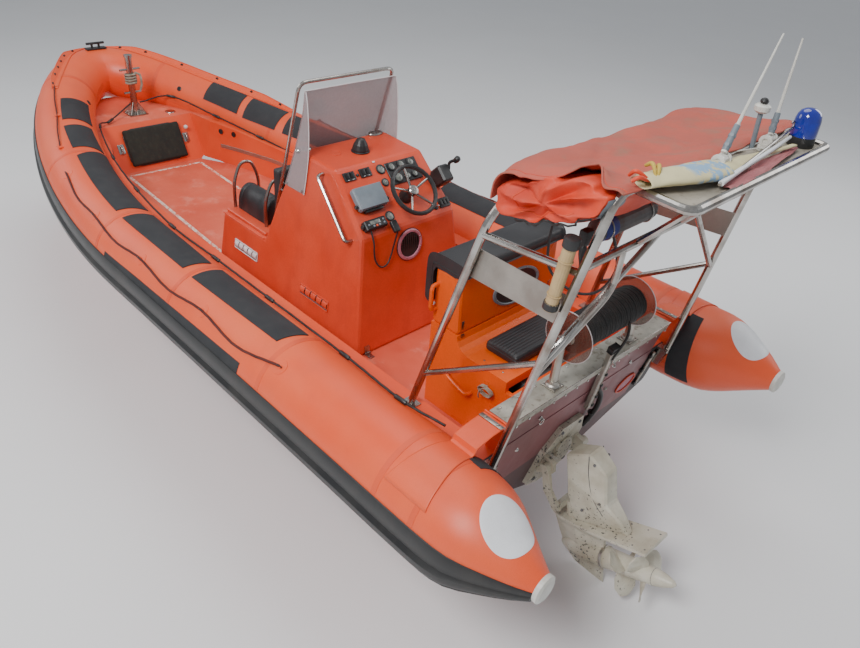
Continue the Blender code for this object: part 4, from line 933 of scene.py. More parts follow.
def cover_point(x, v):
    """v runs from the fore hem over the top to the aft hem."""
    top = crown(x)
    line = ((0.303, top - 0.165), (0.3, top - 0.12), (0.292, top - 0.08), (0.268, top - 0.043),
        (0.225, top - 0.02), (0.15, top - 0.004), (0.06, top + 0.004), (-0.04, top + 0.008),
        (-0.14, top + 0.022), (-0.215, max(top + 0.03, 1.88)), (-0.268, 1.8965), (-0.3, 1.8975),
        (-0.32, 1.89))
    f = v * (len(line) - 1)
    i = min(int(f), len(line) - 2)
    t = f - i
    pts = [line[max(0, min(len(line) - 1, i + k))] for k in (-1, 0, 1, 2)]
    y, z = [0.5 * (2 * pts[1][c] + (pts[2][c] - pts[0][c]) * t +
        (2 * pts[0][c] - 5 * pts[1][c] + 4 * pts[2][c] - pts[3][c]) * t * t +
        (3 * pts[1][c] - pts[0][c] - 3 * pts[2][c] + pts[3][c]) * t ** 3) for c in (0, 1)]
    end = max(0.0, min(1.0, (-0.52 - x) / 0.23))
    mouth = exp(-((y + 0.105) / 0.085) ** 2)
    z += 0.085 * end ** 1.4 * mouth - 0.014 * end * exp(-((y + 0.225) / 0.05) ** 2)
    x += 0.135 * end ** 2 * mouth - 0.01 * end * exp(-((y + 0.24) / 0.05) ** 2)
    loose = sin(pi * min(1.0, max(0.0, v))) ** 0.5
    fold = sin(17 * x - 9 * y + 2.2 * wobble((x, y, 0), 3.0)) * 0.0045 + sin(8 * x + 26 * y + 1.0) * 0.003
    crease = (-0.01 * exp(-((y - 0.55 * x - 0.26) / 0.022) ** 2) -
        0.008 * exp(-((y + 0.35 * x + 0.1) / 0.018) ** 2))
    fine = 0.005 * wobble((x * 3, y * 2, z), 4.0) + 0.0025 * wobble((x, y, z), 22.0)
    z += loose * (fold + crease * (0.4 + 0.6 * abs(sin(3 * x))) + fine)
    y += 0.006 * sin(21 * x + 0.6) * (1 - loose) * (v < 0.5) + (0.005 * sin(31 * x)) * (v > 0.9)
    return Vector((x, y, z))


COVER_LONG, COVER_WIDE = 120, 64
rows = [[cover_point(-0.752 + 1.527 * i / COVER_LONG, k / COVER_WIDE) for k in range(COVER_WIDE + 1)]
    for i in range(COVER_LONG + 1)]
cover = thicken(loft("cover_sheet", rows, COVER, closed=False, caps=False, angle=75), 0.0022)
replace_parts(cover, "weather_cover")
hem = [p + Vector((-0.001, 0, 0.0005)) for p in rows[0]]
hem_piece = sweep("cover_hem", hem, 0.0045, COVER, sides=8)
stitch = sweep("cover_stitch", [cover_point(-0.728, k / 64) + Z * 0.0018 for k in range(65)], 0.0013, BAG,
    sides=6)
aft_hem = sweep("cover_hem_aft", [row[-1] for row in rows], 0.0042, COVER, sides=8)

MIDDLE = [(-0.245, 1.845), (-0.25, 1.78), (-0.205, 1.705), (-0.15, 1.655), (-0.08, 1.625), (0.0, 1.604),
    (0.08, 1.592), (0.15, 1.587), (0.215, 1.588), (0.262, 1.61), (0.279, 1.65), (0.276, 1.705),
    (0.25, 1.775), (0.2, 1.805), (0.09, 1.82), (-0.04, 1.828), (-0.15, 1.842)]
PORT_END = [(-0.262, 1.862), (-0.248, 1.815), (-0.222, 1.765), (-0.163, 1.722), (-0.07, 1.675),
    (0.035, 1.64), (0.09, 1.622), (0.145, 1.606), (0.221, 1.594), (0.268, 1.618), (0.284, 1.655),
    (0.286, 1.698), (0.255, 1.728), (0.2, 1.75), (0.09, 1.8), (-0.04, 1.852), (-0.15, 1.878)]
BAG_SIDES = 96


def bag_outline(share):
    """Section of the bag, from its middle (0) to its port end (1)."""
    line = [Vector((0, ya + (yb - ya) * share, za + (zb - za) * share))
        for (ya, za), (yb, zb) in zip(MIDDLE, PORT_END)]
    return spread(curved(line + line[:1], 6), BAG_SIDES + 1)[:-1]


rings = []
BAG_X = ([-0.752, -0.748, -0.738, -0.72, -0.7, -0.67] + [-0.63 + 1.31 * k / 60 for k in range(61)] +
    [0.7, 0.715, 0.722])
for i, x in enumerate(BAG_X):
    share = max(0.0, min(1.0, (-0.4 - x) / 0.33)) ** 1.2
    near = max(0.0, min(1.0, (-0.45 - x) / 0.3))
    shrink = (0.955, 0.975, 0.99, 1.0)[min(i, 3)] * (0.94, 0.97, 0.99, 1.0)[min(len(BAG_X) - 1 - i, 3)]
    ring = []
    for k, p in enumerate(bag_outline(share)):
        a = 2 * pi * k / BAG_SIDES
        low = max(0.0, (1.72 - p.z) / 0.13)
        fold = (0.013 * sin(7 * a + 9 * x) + 0.008 * sin(13 * a - 16 * x + 1.3)) * near
        pleat = 0.006 * abs(sin(31 * x + 4 * sin(3 * a))) * low
        puff = (0.006 * wobble((x, p.y, p.z), 9.0) - 0.004 * abs(wobble((x, p.y, p.z), 17.0, 5.0)) +
            fold - pleat)
        inner = Vector((0, p.y - 0.02, p.z - 1.735))
        q = Vector((0, 0.02, 1.735)) + inner * shrink + inner.normalized() * min(puff, 0.01)
        ring.append(Vector((x, q.y, min(q.z, cover_point(x, 0.5).z + 0.06))))
    rings.append(ring)
end = []
middle = Vector((-0.76, 0.02, 1.725))
for step in range(1, 15):
    s = step / 15
    ring = []
    for k, p in enumerate(rings[0]):
        a = 2 * pi * k / BAG_SIDES
        q = p.lerp(middle, s)
        ridge = abs(((2.5 * a / pi + 0.35 * s + 0.25 * sin(2 * a)) % 1.0) - 0.5) * 2
        q.x += ((-0.055 * ridge ** 1.5 + 0.03) * sin(pi * min(1.0, s * 1.1)) ** 0.7 +
            0.006 * wobble(q, 20.0))
        q.z += 0.01 * sin(5 * a + 3 * s) * sin(pi * s)
        ring.append(q)
    end.append(ring)
bag = loft("bag_body", list(reversed(end)) + rings, BAG, angle=75)
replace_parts(bag, "righting_bag")
rope = []
for k in range(9, 40):
    p = rings[1][k]
    rope.append(p + Vector((0.0 + 0.004 * sin(k * 2.1), 0, -0.01 - 0.003 * cos(k * 1.7))))
sweep("bag_lacing", spread(curved(rope, 3), 120), 0.0042, LINE_BLACK, strands=3)
loft("bag_reinforcement", [[p + Vector((-0.006, -0.005, -0.003)) for p in rings[j][1:13]]
    for j in (1, 2, 3, 4, 5, 6)], GREY, closed=False, caps=False)
seam_loop = [end[5][k] + Vector((-0.003, 0, 0)) for k in range(8, 60)]
sweep("bag_seam", seam_loop, 0.0018, SEAM, sides=6)


# On the platform
def sheet_rows(rows, name, mat, thickness=0.0016):
    """A cloth from rows of points, given its thickness."""
    made = thicken(loft(name, rows, mat, closed=False, caps=False, angle=75), thickness)
    return made


furl = spread(curved([(-0.64, -0.318, 1.905), (-0.56, -0.345, 1.912), (-0.44, -0.385, 1.912),
    (-0.3, -0.415, 1.908), (-0.12, -0.425, 1.9), (0.06, -0.42, 1.9), (0.24, -0.452, 1.902),
    (0.36, -0.47, 1.905)], 10), 90)
rows = []
for i, p in enumerate(furl):
    u = i / 89
    wide = 0.07 * sin(pi * min(1.0, 0.12 + u * 1.25)) ** 0.6 * (1.0 if u < 0.42 else 0.55) + 0.014
    row = []
    for k in range(41):
        v = k / 40
        turn = 2.6 * pi * v
        r = wide * (1 - 0.55 * v)
        row.append(p + Vector((0.006 * sin(9 * v + 5 * u), r * cos(turn),
            0.42 * r * sin(turn) + 0.004 + 0.004 * wobble((u * 9, v * 3, 0), 2.0))))
    rows.append(row)
sheet_rows(rows, "flag_furled", FLAG)
rows = []
for i in range(41):
    u = i / 40
    base = Vector((-0.33, -0.508, 1.9)).lerp(Vector((0.4, -0.462, 1.9)), u)
    row = []
    for k in range(21):
        v = k / 20
        width = 0.06 + 0.03 * sin(pi * u)
        z = 1.8765 + 0.01 * abs(sin(7 * u + 4 * v)) + 0.004 * wobble((u * 6, v * 4, 2), 2.0) + 0.006 * u
        row.append(Vector((base.x + 0.02 * v, base.y + width * (v - 0.5) * (1 - 0.5 * u), z)))
    rows.append(row)
sheet_rows(rows, "pennant", PINK)
sweep("flag_sleeve", curved([(-0.345, -0.488, 1.9), (-0.1, -0.468, 1.912), (0.15, -0.452, 1.92),
    (0.4, -0.428, 1.926)], 12), lambda s: 0.012 - 0.004 * s, DISC, sides=12)
sweep("flag_staff", [(-0.36, -0.488, 1.898), (0.0, -0.455, 1.925), (0.46, -0.405, 1.952)], 0.006, STEEL,
    sides=10)
sweep("flag_staff_hook", curved([(0.46, -0.405, 1.952), (0.475, -0.402, 1.965), (0.47, -0.398, 1.978),
    (0.452, -0.398, 1.972)], 6), 0.004, STEEL, sides=8)
TASSELS = (
    # start, middle, end, material
    ((-0.595, -0.345, 1.93), (-0.56, -0.3, 1.962), (-0.54, -0.262, 1.94), YELLOW),
    ((-0.59, -0.35, 1.928), (-0.54, -0.318, 1.955), (-0.5, -0.29, 1.938), YELLOW),
    ((-0.62, -0.33, 1.925), (-0.655, -0.292, 1.952), (-0.65, -0.262, 1.925), BAG),
    ((-0.625, -0.335, 1.92), (-0.672, -0.32, 1.94), (-0.69, -0.3, 1.922), BAG),
)
for n, (start, middle, stop, mat) in enumerate(TASSELS):
    sweep("flag_tassel_%d" % n, curved([start, middle, stop], 8),
        lambda s: 0.0045 + 0.012 * s * (1.15 - s), mat, sides=10)

BEACON_X, BEACON_Y, BEACON_Z = 0.518, -0.44, 1.8708
turned("beacon_base", (BEACON_X, BEACON_Y, BEACON_Z), Z, ((0.0, 0.058), (0.006, 0.0605), (0.04, 0.059),
    (0.046, 0.0585)), BLACK)
turned("beacon_cap", (BEACON_X, BEACON_Y, 1.9165), Z, ((0.0, 0.058), (0.006, 0.0585), (0.03, 0.0585),
    (0.074, 0.057), (0.095, 0.052), (0.112, 0.042), (0.122, 0.026), (0.126, 0.01)), LENS)
ANTENNAS = (
    # side, foot x, tip dx, dy, dz
    ("port", -0.158, 0.283, 0.025, 0.426), ("starboard", 0.278, 0.08, 0.03, 0.39),
)
for label, x, dx, dy, dz in ANTENNAS:
    tip = Vector((dx, dy, dz))
    foot = Vector((x, -0.385, 1.9466 + 0.013 * hypot(dx, dy) / tip.length))
    body = "whip_" + label
    sweep("antenna_sleeve_" + label, [foot + tip * s for s in (0.015, 0.02, 0.23, 0.24)],
        lambda s: (0.01, 0.0145, 0.0125, 0.009)[min(3, int(s * 3.99))], GREY, body, 14)
    for k, reach in enumerate((0.05, 0.13)):
        turned("antenna_nut_%s_%d" % (label, k), foot + tip * reach, tip,
            ((0.0, 0.0165), (0.012, 0.0165)), GREY, body, 6)
    for s in (-1, 1):
        turned("antenna_boss_%s_%d" % (label, s > 0), (x + s * 0.022, -0.385, 1.92), (s, 0, 0),
            ((0.0, 0.03), (0.01, 0.03), (0.013, 0.022), (0.0135, 0.014), (0.009, 0.012), (0.009, 0.004)),
            WHITE)
    lead("antenna_lead_" + label, [(x - 0.034, -0.383, 1.888), (x - 0.07, -0.372, 1.893),
        (x - 0.11, -0.352, 1.89), (x - 0.15, -0.328, 1.884), (x - 0.188, -0.31, 1.878)], 0.0035, WHITE,
        "hull", lay="loose")

turned("gps_cap", (0.2605, -0.3205, 2.03), Z, ((0.0, 0.022), (0.01, 0.0345), (0.03, 0.035),
    (0.037, 0.026), (0.0395, 0.012)), WHITE)
turned("gps_ball", (0.2605, -0.3205, 2.068), Z, ((0.0, 0.01), (0.006, 0.017), (0.014, 0.019),
    (0.022, 0.015), (0.026, 0.007)), BLACK)
# Cylinder under the platform: label, valve and its cable
CYLINDER_Y, CYLINDER_Z, STRAP_R = -0.105, 1.5915, 0.054
sweep("cylinder_band", [(x, CYLINDER_Y, CYLINDER_Z) for x in (-0.515, -0.51, -0.425, -0.42)],
    lambda s: 0.0522 if 0.1 < s < 0.9 else 0.05, LABEL, sides=32)
turned("cylinder_valve", (-0.545, CYLINDER_Y, CYLINDER_Z), (1, 0, 0),
    ((0.0, 0.026), (0.01, 0.032), (0.035, 0.032), (0.045, 0.024)), BLACK, sides=8)
block("cylinder_head", (-0.595, -0.105, 1.585), (0.026, 0.022, 0.034), BLACK, bevel=0.008)
sweep("cylinder_handle", curved([(-0.6, -0.105, 1.56), (-0.606, -0.112, 1.52), (-0.596, -0.118, 1.47),
    (-0.59, -0.112, 1.43)], 8), lambda s: 0.011 + 0.009 * sin(pi * s), BLACK, sides=10)
for n, x in enumerate((-0.47, -0.16)):
    ring = [Vector((x, CYLINDER_Y + STRAP_R * cos(t), CYLINDER_Z + STRAP_R * sin(t))) for t in angles(32)]
    sweep("cylinder_strap_%d" % n, ring, 0.0035, STEEL, closed=True, sides=8)
lead("cylinder_cable", [(-0.3, 0.226, 1.598), (-0.303, 0.235, 1.52), (-0.302, 0.262, 1.42),
    (-0.3, 0.268, 1.3), (-0.3, 0.245, 1.19), (-0.3, 0.165, 1.135), (-0.3, 0.06, 1.125),
    (-0.3, -0.036, 1.17), (-0.3, -0.096, 1.254), (-0.32, -0.13, 1.36), (-0.36, -0.128, 1.46),
    (-0.4, -0.118, 1.545)], 0.007, BLACK, "hull")

# Document tube: black ends and clips
axis = Vector((0, -0.043, 0.34)).normalized()
tube_foot = Vector((-0.7799, -0.117, 1.308))
turned("flare_tube_foot", tube_foot - axis * 0.001, axis, ((0.0, 0.03), (0.004, 0.0345), (0.034, 0.0348),
    (0.037, 0.031)), BLACK)
turned("flare_tube_cap", tube_foot + axis * 0.309, axis, ((0.0, 0.031), (0.002, 0.0352), (0.036, 0.0358),
    (0.044, 0.0335), (0.0475, 0.026), (0.048, 0.01)), BLACK)
for n, reach in enumerate((0.075, 0.245)):
    c = tube_foot + axis * reach
    _, x, y = across(axis)
    ring = [c + (x * cos(t) + y * sin(t)) * 0.0305 for t in angles(28)]
    sweep("flare_tube_clip_%d" % n, ring, 0.003, TAN, closed=True, sides=8)

# Tow reel
REEL = Vector((0.02, 0.06, 0.85))
turns, drum = 34, []
for k in range(turns * 22 + 1):
    a = 2 * pi * k / 22
    x = -0.283 + 0.566 * k / (turns * 22)
    r = (0.0915 + 0.004 * wobble((x, 0.3 * sin(a), 0.3 * cos(a)), 9.0) +
        0.006 * (x > 0.02) * sin(pi * (x - 0.02) / 0.27) ** 2)
    drum.append(REEL + Vector((x + 0.003 * sin(a * 0.37), r * cos(a), r * sin(a))))
winding = sweep("reel_winding", drum, 0.0088, LINE_BLACK, "reel", 8)
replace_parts(winding, "tow_reel")
turned("reel_drum", REEL + Vector((-0.293, 0, 0)), (1, 0, 0), ((0.0, 0.084), (0.586, 0.084)), LINE_BLACK,
    "reel", 40)
for s, label in SIDES:
    turned("reel_flange_" + label, REEL + Vector((s * 0.2935, 0, 0)), (s, 0, 0),
        ((0.0, 0.1435), (0.001, 0.1445), (0.0045, 0.1445), (0.0055, 0.1435)), FLANGE, "reel", 72)
    ring = [REEL + Vector((s * 0.2965, 0.1448 * cos(t), 0.1448 * sin(t))) for t in angles(72)]
    sweep("reel_flange_edge_" + label, ring, 0.0028, EDGE, "reel", closed=True, sides=6)
    turned("reel_hub_" + label, REEL + Vector((s * 0.2995, 0, 0)), (s, 0, 0),
        ((0.0, 0.04), (0.004, 0.04), (0.006, 0.032), (0.0062, 0.0185)), PLATE, "reel", 24)
tow_hook = sweep("tow_hook", curved([(0.058, -0.038, 0.615), (0.046, -0.046, 0.6), (0.05, -0.06, 0.58),
    (0.068, -0.06, 0.578), (0.07, -0.045, 0.598), (0.058, -0.038, 0.612)], 6), 0.0045, STEEL, sides=8)
lead("tow_line_end", [(0.118, -0.052, 0.842), (0.112, -0.064, 0.8), (0.098, -0.068, 0.75),
    (0.078, -0.06, 0.7), (0.064, -0.046, 0.65), (0.058, -0.038, 0.612)], 0.0075, LINE_BLACK, "hull",
    "fitting", "limp", with_pieces=[tow_hook])

# Transom
RAKE = 0.23
CAP_AFT = Vector((0, -1, -RAKE)).normalized()


def on_transom(x, z, out=0.0):
    """Point on the raked transom, out metres behind it."""
    return Vector((x, RAKE * (0.565 - z), z)) + CAP_AFT * out


for n in range(15):
    x = -0.7 + 0.1 * n
    turned("capping_bolt_%d" % n, (x, -0.0085, 0.527), (0, -1, 0),
        ((0.0, 0.0085), (0.004, 0.0085), (0.006, 0.0045)), STEEL, sides=8)
for n in range(11):
    x = -0.69 + 0.138 * n
    turned("capping_rivet_%d" % n, (x, 0.112, 0.5652), Z, ((0.0, 0.007), (0.002, 0.006), (0.003, 0.003)),
        STEEL, sides=12)
sweep("capping_edge", [(-0.748, -0.0095, 0.5655), (0.748, -0.0095, 0.5655)], 0.0022, STEEL, sides=8)
for x, label in ((-0.335, "port"), (0.375, "starboard")):
    turned("reel_post_foot_" + label, (x, 0.06, 0.573), Z, ((0.0, 0.04), (0.006, 0.038), (0.012, 0.03),
        (0.03, 0.0265)), PLATE)
    for k, (dx, dy) in enumerate(((-0.034, -0.034), (0.034, -0.034), (-0.034, 0.034), (0.034, 0.034))):
        turned("reel_post_bolt_%s_%d" % (label, k), (x + dx, 0.06 + dy, 0.572), Z,
            ((0.0, 0.006), (0.005, 0.005)), STEEL, sides=6)
a, b = Vector((0.035, -0.03, 0.7)), Vector((0.095, 0.07, 0.19))
slant = (b - a).normalized()
flat_out = Vector((0, -1, -0.2)).normalized()
block("transom_bar", (a + b) / 2 + flat_out * 0.012, (0.019, 0.255, 0.011), PLATE,
    axes=(slant.cross(flat_out).normalized(), slant, flat_out), bevel=0.004)
block("transom_bar_head", a + flat_out * 0.012, (0.032, 0.018, 0.013), BLACK, axes=(X, slant, flat_out),
    bevel=0.006)
for n, s in enumerate((0.42, 0.6, 0.8, 0.95)):
    p = a.lerp(b, s)
    turned("transom_bar_bolt_%d" % n, p + flat_out * 0.02 + Vector((0.025, 0, 0)), flat_out,
        ((0.0, 0.012), (0.01, 0.011), (0.014, 0.006)), BLACK, sides=6)
PORT_X, PORT_Z, PORT_WIDE, PORT_TALL = 0.6, 0.1, 0.095, 0.072


def port_ring(share, out):
    """Oval round the drain port, as a share of its full size."""
    return [on_transom(PORT_X + PORT_WIDE * share * cos(t), PORT_Z + PORT_TALL * share * sin(t), out)
        for t in angles(40)]


sweep("transom_port_ring_0", port_ring(1.0, 0.005), 0.006, GEL, closed=True)
loft("transom_port_lid_0", [port_ring(share, 0.002 + 0.003 * (1 - share))
    for share in (0.01, 0.35, 0.7, 0.98)], RING, caps=False)
for n, (x, z) in enumerate(((-0.42, 0.4), (0.47, 0.36), (-0.62, 0.06), (0.3, 0.22), (-0.52, 0.2))):
    turned("transom_fitting_%d" % n, on_transom(x, z, 0.0005), CAP_AFT,
        ((0.0, 0.014), (0.004, 0.013), (0.009, 0.009), (0.012, 0.005)), STEEL, sides=16)
eye = [on_transom(-0.42 + 0.016 * cos(t), 0.385 + 0.02 * sin(t), 0.016) for t in angles(20)]
sweep("transom_eye", eye, 0.004, STEEL, closed=True, sides=8)
for s, label in SIDES:
    rod = [on_transom(s * 0.775, z, 0.012) for z in (0.3, 0.15, 0.0)]
    sweep("transom_stay_" + label, rod, 0.011, PLATE)
    for k, z in enumerate((0.27, 0.14, 0.02)):
        block("transom_bracket_%s_%d" % (label, k), on_transom(s * 0.775, z, 0.01), (0.03, 0.01, 0.012),
            BLACK, bevel=0.003)
HOSE = ((0.17, 0.3, 0.004), (0.2, 0.24, 0.03), (0.215, 0.14, 0.04), (0.205, 0.05, 0.035),
    (0.185, -0.02, 0.028))
sweep("transom_hose", curved([on_transom(x, z, out) for x, z, out in HOSE], 8), 0.017, RUBBER)
for n, z in enumerate((0.06, 0.0)):
    turned("transom_hose_clip_%d" % n, on_transom(0.205, z + 0.02, 0.03), (0, -0.2, 1),
        ((0.0, 0.021), (0.012, 0.021)), BLACK, sides=16)

# Console
DASH = Vector((0.0, 0.326, 0.331)).normalized()
DASH_OUT = Vector((0.0, -0.331, 0.326)).normalized()
DASH_AXES = (X, DASH, DASH_OUT)


def on_dash(x, up, out):
    """Point on the sloped dash: up along the slope, out from its face."""
    return Vector((x, 1.559, 0.809)) + DASH * up + DASH_OUT * out


def dial(name, x, up, radius, base=0.0005, body="hull"):
    """Round instrument with bezel, face and needle."""
    turned(name + "_bezel", on_dash(x, up, base), DASH_OUT, ((0.0, radius + 0.004),
        (0.006, radius + 0.004), (0.009, radius), (0.009, radius * 0.86), (0.006, radius * 0.84)), BLACK,
        body)
    turned(name + "_face", on_dash(x, up, base + 0.004), DASH_OUT,
        ((0.0, radius * 0.85), (0.0025, radius * 0.84), (0.004, radius * 0.6)), DIAL, body)
    t = (DASH * 0.7 + Vector((0.7, 0, 0))) * radius * 0.6
    sweep(name + "_needle", [on_dash(x, up, base + 0.0092), on_dash(x, up, base + 0.0092) + t], 0.0009,
        WHITE, body, 6)


for n, x in enumerate((-0.287, -0.158)):
    block("switch_panel_%d" % n, on_dash(x, 0.408, 0.005), (0.044, 0.03, 0.006), BLACK, axes=DASH_AXES,
        bevel=0.004)
    for k in (-1, 1):
        block("switch_rocker_%d_%d" % (n, k > 0), on_dash(x + k * 0.019, 0.41, 0.014),
            (0.014, 0.019, 0.005), RUBBER, axes=(X, (DASH + DASH_OUT * 0.25).normalized(),
            (DASH_OUT - DASH * 0.25).normalized()), bevel=0.003)
        block("switch_mark_%d_%d" % (n, k > 0), on_dash(x + k * 0.019, 0.384, 0.0112),
            (0.007, 0.0012, 0.0006), DISC, axes=DASH_AXES, bevel=0.0004)
turned("panel_link", on_dash(-0.222, 0.404, 0.001), DASH_OUT,
    ((0.0, 0.01), (0.008, 0.009), (0.012, 0.004)), BLACK, sides=16)
block("dash_mark", on_dash(-0.055, 0.462, 0.0012), (0.01, 0.005, 0.001), DISC, axes=DASH_AXES,
    bevel=0.0008)
DIALS = (
    # x, up, radius, height of the base
    (-0.03, 0.402, 0.03, 0.0005), (-0.042, 0.311, 0.024, 0.0005), (-0.128, 0.091, 0.03, 0.0005),
    (0.055, 0.398, 0.026, 0.0105), (0.138, 0.398, 0.026, 0.0105), (0.222, 0.398, 0.026, 0.0105),
    (0.072, 0.318, 0.034, 0.0105), (0.152, 0.312, 0.022, 0.0105), (0.216, 0.312, 0.022, 0.0105),
)
for n, (x, up, radius, base) in enumerate(DIALS):
    dial("dial_%d" % n, x, up, radius, base)
block("plotter_hood", on_dash(-0.2325, 0.24, 0.0575), (0.108, 0.071, 0.004), GREY, axes=DASH_AXES,
    bevel=0.014, steps=4)
block("plotter_bracket", on_dash(-0.2325, 0.158, 0.018), (0.07, 0.01, 0.016), BLACK, axes=DASH_AXES,
    bevel=0.004)
for s in (-1, 1):
    turned("plotter_knob_%d" % (s > 0), on_dash(-0.2325 + s * 0.118, 0.2, 0.03), (s, 0, 0),
        ((0.0, 0.01), (0.01, 0.014), (0.016, 0.012)), BLACK)
block("radio_face", on_dash(-0.28, 0.0675, 0.0455), (0.078, 0.026, 0.003), BLACK, axes=DASH_AXES,
    bevel=0.003)
block("radio_window", on_dash(-0.288, 0.075, 0.0488), (0.04, 0.012, 0.001), DIAL, axes=DASH_AXES,
    bevel=0.001)
for n, (dx, up, mat) in enumerate(((-0.062, 0.066, GREY), (0.058, 0.078, GREY), (0.058, 0.056, GREY),
        (-0.005, 0.051, TUBE), (0.018, 0.051, GREY), (-0.028, 0.051, GREY))):
    turned("radio_knob_%d" % n, on_dash(-0.28 + dx, up, 0.0483), DASH_OUT,
        ((0.0, 0.0075), (0.005, 0.007), (0.007, 0.004)), mat, sides=16)
turned("radio_bracket", on_dash(-0.366, 0.07, 0.02), (-1, 0, 0),
    ((0.0, 0.012), (0.006, 0.016), (0.014, 0.014)), BLACK)
block("helm_switch_panel", on_dash(0.345, 0.066, 0.006), (0.048, 0.034, 0.006), BLACK, axes=DASH_AXES,
    bevel=0.004)
for k in range(3):
    block("helm_switch_%d" % k, on_dash(0.315 + 0.03 * k, 0.066, 0.0145), (0.01, 0.018, 0.004), RUBBER,
        axes=DASH_AXES, bevel=0.002)
turned("ignition", on_dash(0.262, 0.052, 0.0005), DASH_OUT,
    ((0.0, 0.02), (0.008, 0.02), (0.012, 0.014), (0.0125, 0.005)), BLACK)
block("ignition_key", on_dash(0.262, 0.052, 0.022), (0.011, 0.003, 0.011), STEEL, axes=DASH_AXES,
    bevel=0.002)
turned("throttle_grip", on_dash(0.472, 0.28, 0.172), (DASH * 0.1 + DASH_OUT),
    ((-0.03, 0.015), (-0.012, 0.021), (0.01, 0.021), (0.02, 0.012)), BLACK)

# Hand microphone on its clip, with a hanging lead
mic = on_dash(-0.146, 0.012, 0.03)
block("microphone", mic, (0.025, 0.04, 0.014), BLACK, axes=DASH_AXES, bevel=0.01, steps=3)
for k in range(5):
    block("microphone_slot_%d" % k, mic + DASH * (0.012 + 0.006 * k) + DASH_OUT * 0.0142,
        (0.013, 0.0012, 0.0008), RUBBER, axes=DASH_AXES, bevel=0.0005)
AFT_OUT = Vector((0, -0.992, 0.124))


def on_aft(x, z, out):
    """Point on the aft face of the console."""
    return Vector((x, 1.458 + 0.1248 * z, z)) + AFT_OUT * out


lead("microphone_lead", [on_dash(-0.33, 0.034, 0.026), on_aft(-0.329, 0.77, 0.022),
    on_aft(-0.326, 0.715, 0.016), on_aft(-0.318, 0.655, 0.013), on_aft(-0.292, 0.607, 0.013),
    on_aft(-0.255, 0.588, 0.013), on_aft(-0.215, 0.602, 0.013), on_aft(-0.184, 0.65, 0.013),
    on_aft(-0.166, 0.705, 0.018), mic - DASH * 0.041 - DASH_OUT * 0.002], 0.0055, BLACK, "hull")

# Round vent in the aft face
vent = on_aft(-0.012, 0.672, 0.0)
turned("aft_vent_ring", vent, AFT_OUT, ((0.0, 0.108), (0.008, 0.108), (0.014, 0.101), (0.014, 0.088),
    (0.004, 0.084)), RING, sides=56)
# The black disc behind the bars is painted shade: the dark inside of the vent.
turned("aft_vent_back", vent, AFT_OUT, ((0.001, 0.112), (0.005, 0.112), (0.0055, 0.02)), BLACK, sides=56)
for k in range(9):
    x = -0.072 + 0.018 * k
    tall = (0.083 ** 2 - x * x) ** 0.5
    sweep("aft_vent_bar_%d" % k, [vent + Vector((x, 0, 0)) - Z * tall * 0.99 + AFT_OUT * 0.008,
        vent + Vector((x, 0, 0)) + Z * tall * 0.99 + AFT_OUT * 0.008], 0.0035, RUBBER, sides=6)
for k in range(8):
    a = 2 * pi * (k + 0.5) / 8
    turned("aft_vent_screw_%d" % k, vent + Vector((0.095 * cos(a), 0, 0)) +
        Vector((0, 0.124, 0.992)) * 0.095 * sin(a) + AFT_OUT * 0.0138, AFT_OUT,
        ((0.0, 0.005), (0.002, 0.003)), STEEL, sides=10)


# Louvred vents in the sides
def on_side(s, y, z, out):
    """Point on the leaning side of the console. s: -1 port, 1 starboard."""
    return Vector((s * (0.505 - 0.12 * z + out), y, z))


for s, label in SIDES:
    for n, (yc, zc, wide, tall, mat) in enumerate(((2.815, 0.222, 0.15, 0.034, EDGE),
            (1.965, 0.222, 0.158, 0.038, GEL))):
        axes = (Y, Vector((-s * 0.12, 0, 1)).normalized(), Vector((s, 0, 0.12)).normalized())
        # The dark plate behind the scoops is painted shade: the dark inside of the vent's slots.
        block("louvre_%s_%d_plate" % (label, n), on_side(s, yc, zc, 0.001), (wide, tall, 0.003), CASTING,
            axes=axes, bevel=0.002)
        frame_line = [on_side(s, yc + a * wide, zc + b * tall, 0.005)
            for a, b in ((-1, -1), (1, -1), (1, 1), (-1, 1))]
        loop = []
        for p, q in zip(frame_line, frame_line[1:] + frame_line[:1]):
            loop += [p.lerp(q, t) for t in (0.03, 0.25, 0.5, 0.75, 0.97)]
        sweep("louvre_%s_%d_rim" % (label, n), loop, 0.0042, GEL if n else EDGE, closed=True, sides=8)
        for k in range(5):
            y0 = yc - wide + (k + 0.5) * wide * 0.4
            rows = []
            for i in range(7):
                u = i / 6
                rows.append([on_side(s, y0 + wide * 0.17 * (2 * v - 1), zc + tall * (0.85 - 1.55 * u),
                    0.003 + 0.016 * sin(pi * u) * (1 - 0.3 * (2 * v - 1) ** 2) * (u < 0.99))
                    for v in (m / 8 for m in range(9))])
            thicken(loft("louvre_%s_%d_scoop_%d" % (label, n, k), rows, mat, closed=False, caps=False),
                0.0015)

# Fittings on top of the console and at its foot
for n, (x, y) in enumerate(((-0.335, 2.262), (0.27, 2.25))):
    z = 1.14 + (y - 1.885) * 0.039
    rows = [[Vector((x + w * cos(t), y + d * sin(t), z + h)) for t in angles(32)]
        for w, d, h in ((0.062, 0.036, 0.0003), (0.062, 0.036, 0.006), (0.056, 0.031, 0.013),
            (0.03, 0.016, 0.017))]
    loft("console_cap_%d" % n, rows, STEEL)
ring = [Vector((-0.185 + 0.04 * cos(t), 2.12 + 0.04 * sin(t), 1.1495)) for t in angles(36)]
sweep("console_plug", ring, 0.0022, GEL, closed=True, sides=8)
sweep("compass_lip", [Vector((-0.02 + 0.058 * cos(t), 2.06 + 0.058 * sin(t), 1.151)) for t in angles(36)],
    0.005, BLACK, closed=True, sides=8)
turned("compass_glass", (-0.02, 2.042, 1.185), (0, -0.8, 0.6),
    ((0.0, 0.038), (0.012, 0.036), (0.02, 0.024), (0.024, 0.01)), DIAL)
